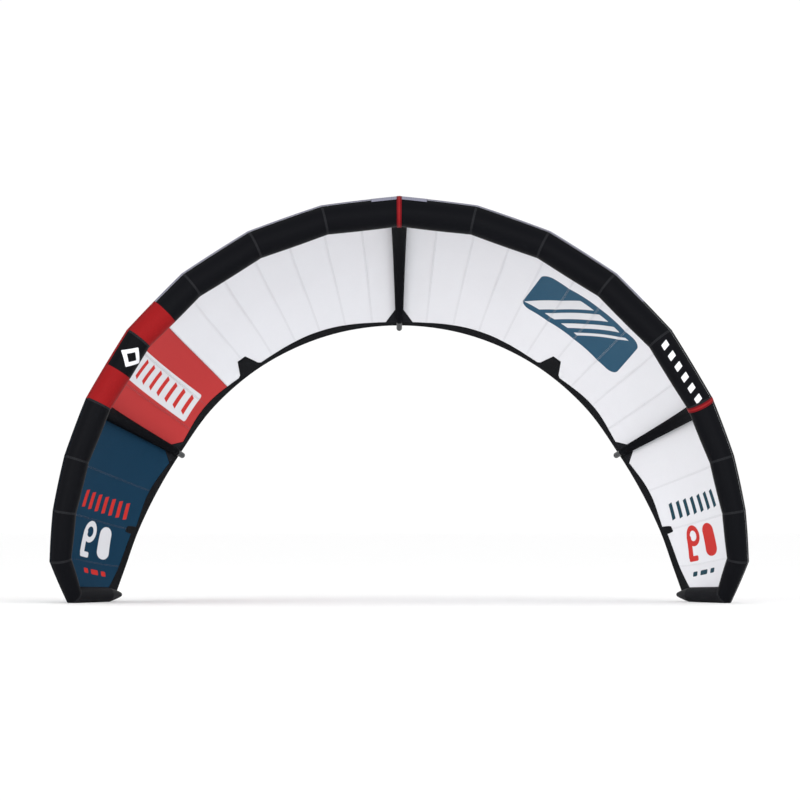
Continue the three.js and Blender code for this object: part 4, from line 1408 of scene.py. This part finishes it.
def band_section(station):
    """The folded strip's section: inner leaf, round fold and outer leaf, below and above the cloth."""
    trim = bpy.context.scene.kite_trim
    cloth = bpy.context.scene.kite_canopy.thickness
    front = share_before_tail(band_reach(station), station)
    back = share_before_tail(trim.back_width, station)
    low = np.linspace(front, 1, LEAF_STEPS)
    high = np.linspace(1, back, LEAF_STEPS)
    edge, normal = sail_points(station, 1.0, cloth / 2)
    away = unit(edge[0] - sail_points(station, NEAR_TAIL, cloth / 2)[0][0])
    sections = []
    for reach in (trim_depth(), trim.gap):
        first = sail_points(station, low, -reach)[0]
        last = sail_points(station, high, cloth + reach)[0]
        radius = cloth / 2 + reach
        turn = np.linspace(-math.pi / 2, math.pi / 2, FOLD_STEPS + 2)[1:-1, None]
        fold = edge[0] + radius * (np.sin(turn) * normal[0] + np.cos(turn) * away)
        sections.append(np.concatenate([first, fold, last]))
    return sections


def build_band():
    trim = bpy.context.scene.kite_trim
    right = [band_section(s) for s in band_stations()]
    left = [[mirrored(leaf, -1) for leaf in pair] for pair in right[:0:-1]]
    pairs = left + right
    outer = np.array([pair[0] for pair in pairs])
    inner = np.array([pair[1] for pair in pairs])
    down = grid_lengths(outer)
    steps = np.linalg.norm(np.diff(outer[:, LEAF_STEPS], axis=0), axis=1)
    along = np.concatenate([[0], np.cumsum(steps)])
    u = np.repeat(along[:, None], outer.shape[1], axis=1)
    piece = cloth_sheet("trailing_edge_band", outer, inner, u, down)
    cloth = plain_cloth("trailing edge webbing", trim.black)
    paint(piece, cloth, "trim_cloth", "trailing_band")
    return piece


def build_patches():
    trim = bpy.context.scene.kite_trim
    cloth = plain_cloth("patch cloth", trim.patch)
    made = []
    for strut in STRUTS:
        low, high = [], []
        for column in np.linspace(-1, 1, PATCH_STEPS):
            rows = []
            for step in np.linspace(0, 1, PATCH_STEPS):
                spread = PATCH_FRONT_WIDTH + (PATCH_REAR_WIDTH - PATCH_FRONT_WIDTH) * step
                station = strut["seam"] + spread * column
                end = share_before_tail(band_width(abs(station)), abs(station)) - PATCH_HOLD_BACK
                rows.append((station, PATCH_START + (end - PATCH_START) * step))
            for leaf, off in ((low, -trim_depth()), (high, -trim.gap)):
                leaf.append([sail_points(s, t, off)[0][0] for s, t in rows])
        low, high = (mirrored(np.array(g), strut["side"]) for g in (low, high))
        across = np.linspace(-PATCH_MAP_HALF, PATCH_MAP_HALF, PATCH_STEPS)
        u = np.repeat(across[:, None], PATCH_STEPS, axis=1)
        v = grid_lengths(low)
        piece = cloth_sheet("strut_patch_" + strut["name"] + "_cloth", low, high, u, v)
        paint(piece, cloth, "trim_cloth", "strut_patch_" + strut["name"])
        made.append(piece)
    return made


# Rings round the tube

RINGS = (
    {"name": "ring_centre", "seam": 0, "pull": 0.0},
    {"name": "ring_right", "seam": 5, "pull": 0.022},
)
RING_START = 12.5
RING_END = 192.5
RING_SEAT = 0.0031
RING_CLOTH = 0.0015
RING_WAVE = 0.0002
RING_COLUMNS = 13
RING_ROWS = 49
RING_STRIPE = (0.0035, 0.0055)


def station_beside(seam, away):
    """The station at a distance along the tube from a seam."""
    return seam + away / SEGMENT_LENGTH[seam - 1 if away < 0 else seam]


def beside_seam(seam, away, angle, extra):
    """A point of the tube's surface, a distance along it from a seam."""
    if away < 0 and seam == 0:
        return mirrored(beside_seam(0, -away, angle, extra), -1)
    return tube_ring(station_beside(seam, away), angle, extra)[0]


def build_rings():
    trim = bpy.context.scene.kite_trim
    webbing = ring_material()
    made = []
    for row in RINGS:
        low, high = [], []
        columns = np.linspace(-0.5, 0.5, RING_COLUMNS)
        for across in columns:
            wave = RING_WAVE * math.cos(across * 2 * math.pi)
            for leaf, extra in ((low, RING_SEAT), (high, RING_SEAT + RING_CLOTH)):
                places = [(a, across * trim.ring_width + row["pull"] * math.sin(math.radians(a)))
                          for a in np.linspace(RING_START, RING_END, RING_ROWS)]
                leaf.append([beside_seam(row["seam"], away, a, extra + wave) for a, away in places])
        low, high = np.array(low), np.array(high)
        u = np.repeat((columns * trim.ring_width)[:, None], RING_ROWS, axis=1)
        v = grid_lengths(high)
        piece = cloth_sheet(row["name"] + "_webbing", low, high, u, v)
        paint(piece, webbing, "ring_cloth", row["name"])
        made.append(piece)
    return made


def ring_material():
    """Ribbed webbing with a paler stripe down its middle."""
    trim = bpy.context.scene.kite_trim
    roughness, specular = FINISHES["ring"]
    material, tree, shader = new_material("ring webbing", specular)
    weave, tone = woven(tree, "ring")
    across = tree.maths("ABSOLUTE", tree.add("ShaderNodeSeparateXYZ", {0: tree.cloth_map()}).outputs[0])
    stripe = tree.step(across, *RING_STRIPE, 1.0, 0.0)
    colour = tree.mix(stripe, tuple(trim.ring), tuple(trim.stripe))
    rough = tree.more(tone["Marks"], RIB_ROUGHNESS, roughness)
    finish_cloth(tree, shader, scaled(tree, colour, tone["Shade"]), rough,
                 [(weave["Height"], WEAVES["ring"]["bump"])])
    return material


# Tapes over the tube's seams and the patch at its middle

TAPE_FIRST_ANGLE = 29.5
TAPE_TURN = 310
TAPE_STEPS = 90
TAPE_RISE = 0.00035
TAPE_SEAT = 0.00005
TAPE_CLOTH = 0.00025
# Across a tape: the share of its width and the share of its rise
TAPE_PROFILE = ((-0.5, 0.2), (-0.43, 1.0), (0.0, 1.0), (0.43, 1.0), (0.5, 0.2))
SEAM_SIDE = 0.001
CENTRE_PATCH = {"half": 0.152, "first": 41.0, "last": 1.0, "seat": 0.0021, "cloth": 0.0006}


def build_tapes():
    tube = bpy.context.scene.kite_tube
    offs, rises = np.array(TAPE_PROFILE).T * np.array([[tube.tape_width], [TAPE_RISE]])
    angles = np.linspace(TAPE_FIRST_ANGLE, TAPE_FIRST_ANGLE + TAPE_TURN, TAPE_STEPS)
    parts = []
    for seam in range(1, END):
        low, high = [], []
        puff = pucker_at(seam + SEAM_SIDE, angles)
        for off, rise in zip(offs, rises):
            for leaf, extra in ((low, TAPE_SEAT), (high, TAPE_CLOTH + rise)):
                leaf.append(tube_ring(station_beside(seam, off), angles, extra + puff))
        u = np.repeat(offs[:, None], len(angles), axis=1)
        for side in (1, -1):
            inner, outer = (mirrored(floored(np.array(g)), side) for g in (low, high))
            parts.append(sheet_part(inner, outer, u, grid_lengths(outer)))
    piece = cloth_sheets("tube_seam_tapes", parts)
    paint(piece, plain_cloth("seam tape", tube.tape), "tube_cloth")
    return piece


def floored(points):
    points[..., 2] = np.maximum(points[..., 2], 0.0)
    return points


def build_centre_patch():
    row = CENTRE_PATCH
    low, high = [], []
    angles = np.linspace(row["first"], row["last"], 25)
    aways = np.linspace(-row["half"], row["half"], 41)
    for away in aways:
        for leaf, extra in ((low, row["seat"]), (high, row["seat"] + row["cloth"])):
            leaf.append([beside_seam(0, away, a, extra) for a in angles])
    low, high = np.array(low), np.array(high)
    u = np.repeat(aways[:, None], len(angles), axis=1)
    down = grid_lengths(high)
    piece = cloth_sheet("centre_wear_patch", low, high, u, down)
    hem = bpy.context.scene.kite_canopy.hem
    paint(piece, plain_cloth("wear patch", hem), "trim_cloth")
    return piece


# Stitches, laid by geometry nodes along rows that follow the seams

STITCH_ROWS = (
    {"name": "canopy_stitches", "pitch": 0.0105, "length": 0.0075, "thread": 0.0009, "swing": 30.0},
    {"name": "coloured_stitches", "pitch": 0.0105, "length": 0.0075, "thread": 0.0009, "swing": 30.0},
    {"name": "tube_stitches", "pitch": 0.008, "length": 0.006, "thread": 0.0009, "swing": 0.0},
    {"name": "trim_stitches", "pitch": 0.008, "length": 0.006, "thread": 0.0009, "swing": 24.0},
)


STITCH_OFF = 0.3
STITCH_LIFT = 0.0001
TAPE_STITCH_LIFT = 0.00065
HEM_STITCH_LIFT = 0.0002
BAND_STITCH_INSET = 0.005
HEM_STITCH_ROWS = (0.24, 0.6)
HEM_STITCH_END = TIP - 0.02
HEM_STITCH_STEPS = 240
SEAM_STITCH_FIRST = WRAP_ROWS + 0.6
SEAM_STITCH_LAST = LAST_ROW - 0.35
SEAM_STITCH_STEPS = 60
CORE_DEPTH = 0.01
SEAM_STEP = 0.02
FLOOR_CLEARANCE = 0.0025
FIRST_COLOURED_SEAM = CANOPY_PIECES[0]["from"]


def stitch_tree():
    """Lays one stitch at each step of a row, turned to lie on the cloth."""
    group, tree, start, end = new_group(
        "stitch row",
        [("Rows", "Geometry", None), ("Pitch", "Float", 0.008), ("Length", "Float", 0.006),
         ("Thread", "Float", 0.001), ("Swing", "Float", 0.0), ("Material", "Material", None)],
        [("Stitches", "Geometry")], "GeometryNodeTree")
    curve = tree.add("GeometryNodeMeshToCurve", {"Mesh": start["Rows"]}).outputs[0]
    steps = tree.add("GeometryNodeResampleCurve", {"Curve": curve, "Length": start["Pitch"]}, mode="LENGTH")
    thread = tree.maths("MULTIPLY", start["Thread"], 0.5)
    rod = tree.add("GeometryNodeMeshCylinder", {"Vertices": 3, "Radius": thread, "Depth": start["Length"]})
    lying = tree.add("GeometryNodeTransform",
                     {"Geometry": rod.outputs["Mesh"], "Rotation": (0.0, math.pi / 2, 0.0)})
    tangent = tree.add("GeometryNodeInputTangent").outputs[0]
    up = tree.add("GeometryNodeInputNamedAttribute", {"Name": "up"}, data_type="FLOAT_VECTOR").outputs[0]
    first = tree.add("FunctionNodeAlignRotationToVector", {"Vector": tangent}, axis="X")
    second = tree.add("FunctionNodeAlignRotationToVector", {"Rotation": first.outputs[0], "Vector": up},
                      axis="Z", pivot_axis="X")
    parity = tree.maths("MODULO", tree.add("GeometryNodeInputIndex").outputs[0], 2.0)
    angle = tree.maths("MULTIPLY", tree.maths("MULTIPLY_ADD", parity, 2.0, -1.0), start["Swing"])
    swing = tree.add("FunctionNodeAxisAngleToRotation", {"Axis": (0.0, 0.0, 1.0), "Angle": angle})
    turned = tree.add("FunctionNodeRotateRotation",
                      {"Rotation": second.outputs[0], "Rotate By": swing.outputs[0]}, rotation_space="LOCAL")
    laid = tree.add("GeometryNodeInstanceOnPoints", {"Points": steps.outputs[0], "Instance": lying.outputs[0],
                                                     "Rotation": turned.outputs[0]})
    real = tree.add("GeometryNodeRealizeInstances", {"Geometry": laid.outputs[0]}).outputs[0]
    done = tree.add("GeometryNodeSetMaterial", {"Geometry": real, "Material": start["Material"]}).outputs[0]
    tree.set(end[0], done)
    return group


def lay_stitches(row, lines, material):
    """Makes the rows' mesh, runs the tree on it and keeps the result as a plain mesh."""
    clear_old(row["name"])
    points, ups, edges, count = [], [], [], 0
    for line, up in lines:
        points.append(np.asarray(line, float) + SHIFT)
        ups.append(np.asarray(up, float))
        edges += [(count + k, count + k + 1) for k in range(len(line) - 1)]
        count += len(line)
    mesh = bpy.data.meshes.new(row["name"] + "_rows")
    mesh.from_pydata(np.concatenate(points).tolist(), edges, [])
    attribute = mesh.attributes.new("up", "FLOAT_VECTOR", "POINT")
    attribute.data.foreach_set("vector", np.concatenate(ups).astype(np.float32).ravel())
    guide = bpy.data.objects.new(row["name"] + "_rows", mesh)
    bpy.context.scene.collection.objects.link(guide)
    modifier = guide.modifiers.new("stitches", "NODES")
    modifier.node_group = stitch_tree()
    values = {"Pitch": row["pitch"], "Length": row["length"], "Thread": row["thread"],
              "Swing": math.radians(row["swing"]), "Material": material}
    for item in modifier.node_group.interface.items_tree:
        if item.in_out == "INPUT" and item.name in values:
            modifier[item.identifier] = values[item.name]
    depsgraph = bpy.context.evaluated_depsgraph_get()
    laid = bpy.data.meshes.new_from_object(guide.evaluated_get(depsgraph))
    laid.name = row["name"]
    bpy.data.objects.remove(guide, do_unlink=True)
    made = bpy.data.objects.new(row["name"], laid)
    bpy.context.scene.collection.objects.link(made)
    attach(made, "root")
    return made


def thread_material(name, base):
    roughness, specular = FINISHES["thread"]
    material, tree, shader = new_material(name, specular)
    tone = tree.group(shared("tone"), Point=tree.place(), Broad=0.1, Fine=0.2)
    colour = scaled(tree, tuple(base), tone["Shade"])
    finish_cloth(tree, shader, colour, tree.more(tone["Marks"], RIB_ROUGHNESS, roughness), [])
    return material


def both_sides(points, ups):
    """A row with its upward directions, and the same on the left half."""
    return [(mirrored(points, side), mirrored(ups, side)) for side in (1, -1)]


def canopy_seam_lines(coloured):
    """Two rows beside each panel seam, on both faces of the white or the coloured cloth."""
    settings = bpy.context.scene.kite_canopy
    rows = np.linspace(SEAM_STITCH_FIRST, SEAM_STITCH_LAST, SEAM_STITCH_STEPS)
    lines = []
    for seam in PANEL_SEAMS:
        normal = sail_normals(seam, rows)
        across = unit(sail_rows(seam + SEAM_STEP, rows) - sail_rows(seam - SEAM_STEP, rows))
        for off in (-STITCH_OFF, STITCH_OFF):
            line = sail_rows(seam, rows) + across * off * settings.seam_width
            for depth, way in ((-settings.seam_rise - STITCH_LIFT, -1.0),
                               (settings.thickness + settings.seam_rise + STITCH_LIFT, 1.0)):
                right, left = both_sides(line + normal * depth, normal * way)
                if not coloured:
                    lines.append(right)
                if (-seam <= FIRST_COLOURED_SEAM) == coloured:
                    lines.append(left)
    return lines


def tube_seam_lines():
    tube = bpy.context.scene.kite_tube
    angles = np.linspace(TAPE_FIRST_ANGLE + 4, TAPE_FIRST_ANGLE + TAPE_TURN - 4, TAPE_STEPS)
    lines = []
    for seam in range(1, END):
        puff = pucker_at(seam + SEAM_SIDE, angles) + TAPE_STITCH_LIFT
        for off in (-STITCH_OFF, STITCH_OFF):
            station = station_beside(seam, off * tube.tape_width)
            line = tube_ring(station, angles, puff)
            ups = unit(line - tube_ring(station, angles, puff - CORE_DEPTH))
            for run in clear_runs(line):
                lines += both_sides(line[run], ups[run])
    return lines


def clear_runs(line):
    """The runs of a line above the floor, since the tube is pressed flat where it stands."""
    clear = (line[:, 2] > FLOOR_CLEARANCE).astype(int)
    edges = np.flatnonzero(np.diff(np.concatenate([[0], clear, [0]])))
    return [slice(a, b) for a, b in zip(edges[::2], edges[1::2]) if b - a > 2]


def trim_lines():
    """Rows along the band's two edges and along the hem."""
    trim, cloth = bpy.context.scene.kite_trim, bpy.context.scene.kite_canopy.thickness
    reach = trim_depth() + STITCH_LIFT
    lines = []
    for width, off, way in ((band_reach, -reach, -1.0), (lambda station: trim.back_width, cloth + reach, 1.0)):
        points, ups = [], []
        for station in band_stations():
            share = share_before_tail(width(station) - BAND_STITCH_INSET, station)
            point, normal = sail_points(station, share, off)
            points.append(point[0])
            ups.append(normal[0] * way)
        lines += both_sides(np.array(points), np.array(ups))
    for row in HEM_STITCH_ROWS:
        stations = np.linspace(0, HEM_STITCH_END, HEM_STITCH_STEPS)
        line, core = (np.array([tube_ring(s, row_angle(row), SEAT + cloth + extra)[0] for s in stations])
                      for extra in (HEM_STITCH_LIFT, -CORE_DEPTH))
        lines += both_sides(line, unit(line - core))
    return lines


def build_stitches():
    trim = bpy.context.scene.kite_trim
    pale, dark = thread_material("pale thread", trim.thread), thread_material("dark thread", trim.dark_thread)
    muted = thread_material("muted thread", trim.muted_thread)
    rows = ((canopy_seam_lines(False), pale), (canopy_seam_lines(True), muted),
            (tube_seam_lines(), dark), (trim_lines(), dark))
    return [lay_stitches(row, lines, thread) for row, (lines, thread) in zip(STITCH_ROWS, rows)]


# Stage

# Each light's name, the setting with its power, its place and its colour
LIGHTS = (
    ("key_light", "key", (-5.5, -12.5, 3.4), (1.0, 0.99, 0.97)),
    ("fill_light", "fill", (5.5, -12.5, 2.6), (0.97, 0.98, 1.0)),
)
LIGHT_AIM = (0, 0, 1.2)
LIGHT_SIZE = 6.0
CAMERA_X = 0.0045


def floor_material():
    roughness, specular = FINISHES["floor"]
    material, tree, shader = new_material("pale floor", specular)
    uneven = tree.noise(tree.place(), 0.8, 2.0)
    finish_cloth(tree, shader, grey(tree, tree.more(uneven, 0.02, 0.96)), roughness, [])
    return material


def area_light(name, place, power, colour):
    old = bpy.data.objects.get(name)
    if old is not None:
        bpy.data.objects.remove(old, do_unlink=True)
    light = bpy.data.lights.new(name, "AREA")
    light.shape, light.size, light.energy, light.color = "SQUARE", LIGHT_SIZE, power, colour
    made = bpy.data.objects.new(name, light)
    from_aim = np.array(place) - np.array(LIGHT_AIM)
    made.location = place
    made.rotation_euler = Vector(from_aim).to_track_quat("Z", "Y").to_euler()
    bpy.context.scene.collection.objects.link(made)
    return made


def build_stage():
    scene = bpy.context.scene
    stage = scene.kite_stage
    clear_old("pale_floor")
    reach = stage.floor_reach
    corners = [(x * reach, y * reach, 0) for x, y in ((-1, -1), (1, -1), (1, 1), (-1, 1))]
    mesh = bpy.data.meshes.new("pale_floor")
    mesh.from_pydata(corners, [], [(0, 1, 2, 3)])
    floor = bpy.data.objects.new("pale_floor", mesh)
    scene.collection.objects.link(floor)
    floor.data.materials.append(floor_material())
    world = bpy.data.worlds.new("studio")
    world.use_nodes = True
    world.node_tree.nodes["Background"].inputs["Color"].default_value = (1.0, 1.0, 1.0, 1.0)
    world.node_tree.nodes["Background"].inputs["Strength"].default_value = stage.sky
    scene.world = world
    for name, power, place, colour in LIGHTS:
        area_light(name, place, getattr(stage, power), colour)
    scene.view_settings.view_transform = "Standard"
    camera = bpy.data.cameras.new("camera")
    camera.lens, camera.sensor_width = stage.lens, 36.0
    camera.clip_start, camera.clip_end = 0.1, 600.0
    made = bpy.data.objects.new("camera", camera)
    made.location = (CAMERA_X, SHIFT[1] - stage.distance, stage.height)
    made.rotation_euler = (math.pi / 2 + stage.tilt, 0.0, 0.0)
    scene.collection.objects.link(made)
    scene.camera = made
    return floor


# Operators

class KITE_OT_leading_edge(bpy.types.Operator):
    """Build the inflated leading edge tube"""
    bl_idname = "kite.leading_edge"
    bl_label = "Leading edge"

    def execute(self, context):
        build_leading_edge()
        return {"FINISHED"}


class KITE_OT_canopy(bpy.types.Operator):
    """Build the canopy's white, red and teal cloth"""
    bl_idname = "kite.canopy"
    bl_label = "Canopy"

    def execute(self, context):
        build_canopy()
        return {"FINISHED"}


class KITE_OT_struts(bpy.types.Operator):
    """Build the three inflated struts and their tails"""
    bl_idname = "kite.struts"
    bl_label = "Struts"

    def execute(self, context):
        build_struts()
        build_tails()
        return {"FINISHED"}


class KITE_OT_trim(bpy.types.Operator):
    """Build the trailing edge band, the strut patches and the rings"""
    bl_idname = "kite.trim"
    bl_label = "Trim"

    def execute(self, context):
        build_band()
        build_patches()
        build_rings()
        return {"FINISHED"}


class KITE_OT_tapes(bpy.types.Operator):
    """Build the tapes over the tube's seams and the patch at its middle"""
    bl_idname = "kite.tapes"
    bl_label = "Tapes"

    def execute(self, context):
        build_tapes()
        build_centre_patch()
        return {"FINISHED"}


class KITE_OT_stitches(bpy.types.Operator):
    """Lay the stitches of the canopy, the tube and the trim"""
    bl_idname = "kite.stitches"
    bl_label = "Stitches"

    def execute(self, context):
        build_stitches()
        return {"FINISHED"}


class KITE_OT_stage(bpy.types.Operator):
    """Set up the floor, the lights and the camera"""
    bl_idname = "kite.stage"
    bl_label = "Stage"

    def execute(self, context):
        build_stage()
        return {"FINISHED"}


class KITE_PT_panel(bpy.types.Panel):
    """Lists the kite's pieces and their sizes"""
    bl_idname = "KITE_PT_panel"
    bl_label = "Kitesurfing kite"
    bl_space_type = "VIEW_3D"
    bl_region_type = "UI"
    bl_category = "Kite"

    def draw(self, context):
        for operator, settings in PANEL_ROWS:
            box = self.layout.box()
            box.operator(operator)
            group = getattr(context.scene, settings)
            for name in type(group).__annotations__:
                box.prop(group, name)


PANEL_ROWS = (
    ("kite.leading_edge", "kite_tube"),
    ("kite.canopy", "kite_canopy"),
    ("kite.struts", "kite_tube"),
    ("kite.trim", "kite_trim"),
    ("kite.tapes", "kite_tube"),
    ("kite.stitches", "kite_trim"),
    ("kite.stage", "kite_stage"),
)
SETTINGS = {"kite_canopy": KiteCanopySettings, "kite_tube": KiteTubeSettings,
            "kite_trim": KiteTrimSettings, "kite_stage": KiteStageSettings}
CLASSES = (KiteCanopySettings, KiteTubeSettings, KiteTrimSettings, KiteStageSettings,
           KITE_OT_leading_edge, KITE_OT_canopy, KITE_OT_struts, KITE_OT_trim, KITE_OT_tapes,
           KITE_OT_stitches, KITE_OT_stage, KITE_PT_panel)


def register():
    for cls in CLASSES:
        bpy.utils.register_class(cls)
    for name, cls in SETTINGS.items():
        setattr(bpy.types.Scene, name, PointerProperty(type=cls))


def unregister():
    for name in SETTINGS:
        delattr(bpy.types.Scene, name)
    for cls in reversed(CLASSES):
        bpy.utils.unregister_class(cls)


def main():
    register()
    bpy.ops.kite.leading_edge()
    bpy.ops.kite.canopy()
    bpy.ops.kite.struts()
    bpy.ops.kite.trim()
    bpy.ops.kite.tapes()
    bpy.ops.kite.stitches()
    bpy.ops.kite.stage()


if __name__ == "__main__":
    main()
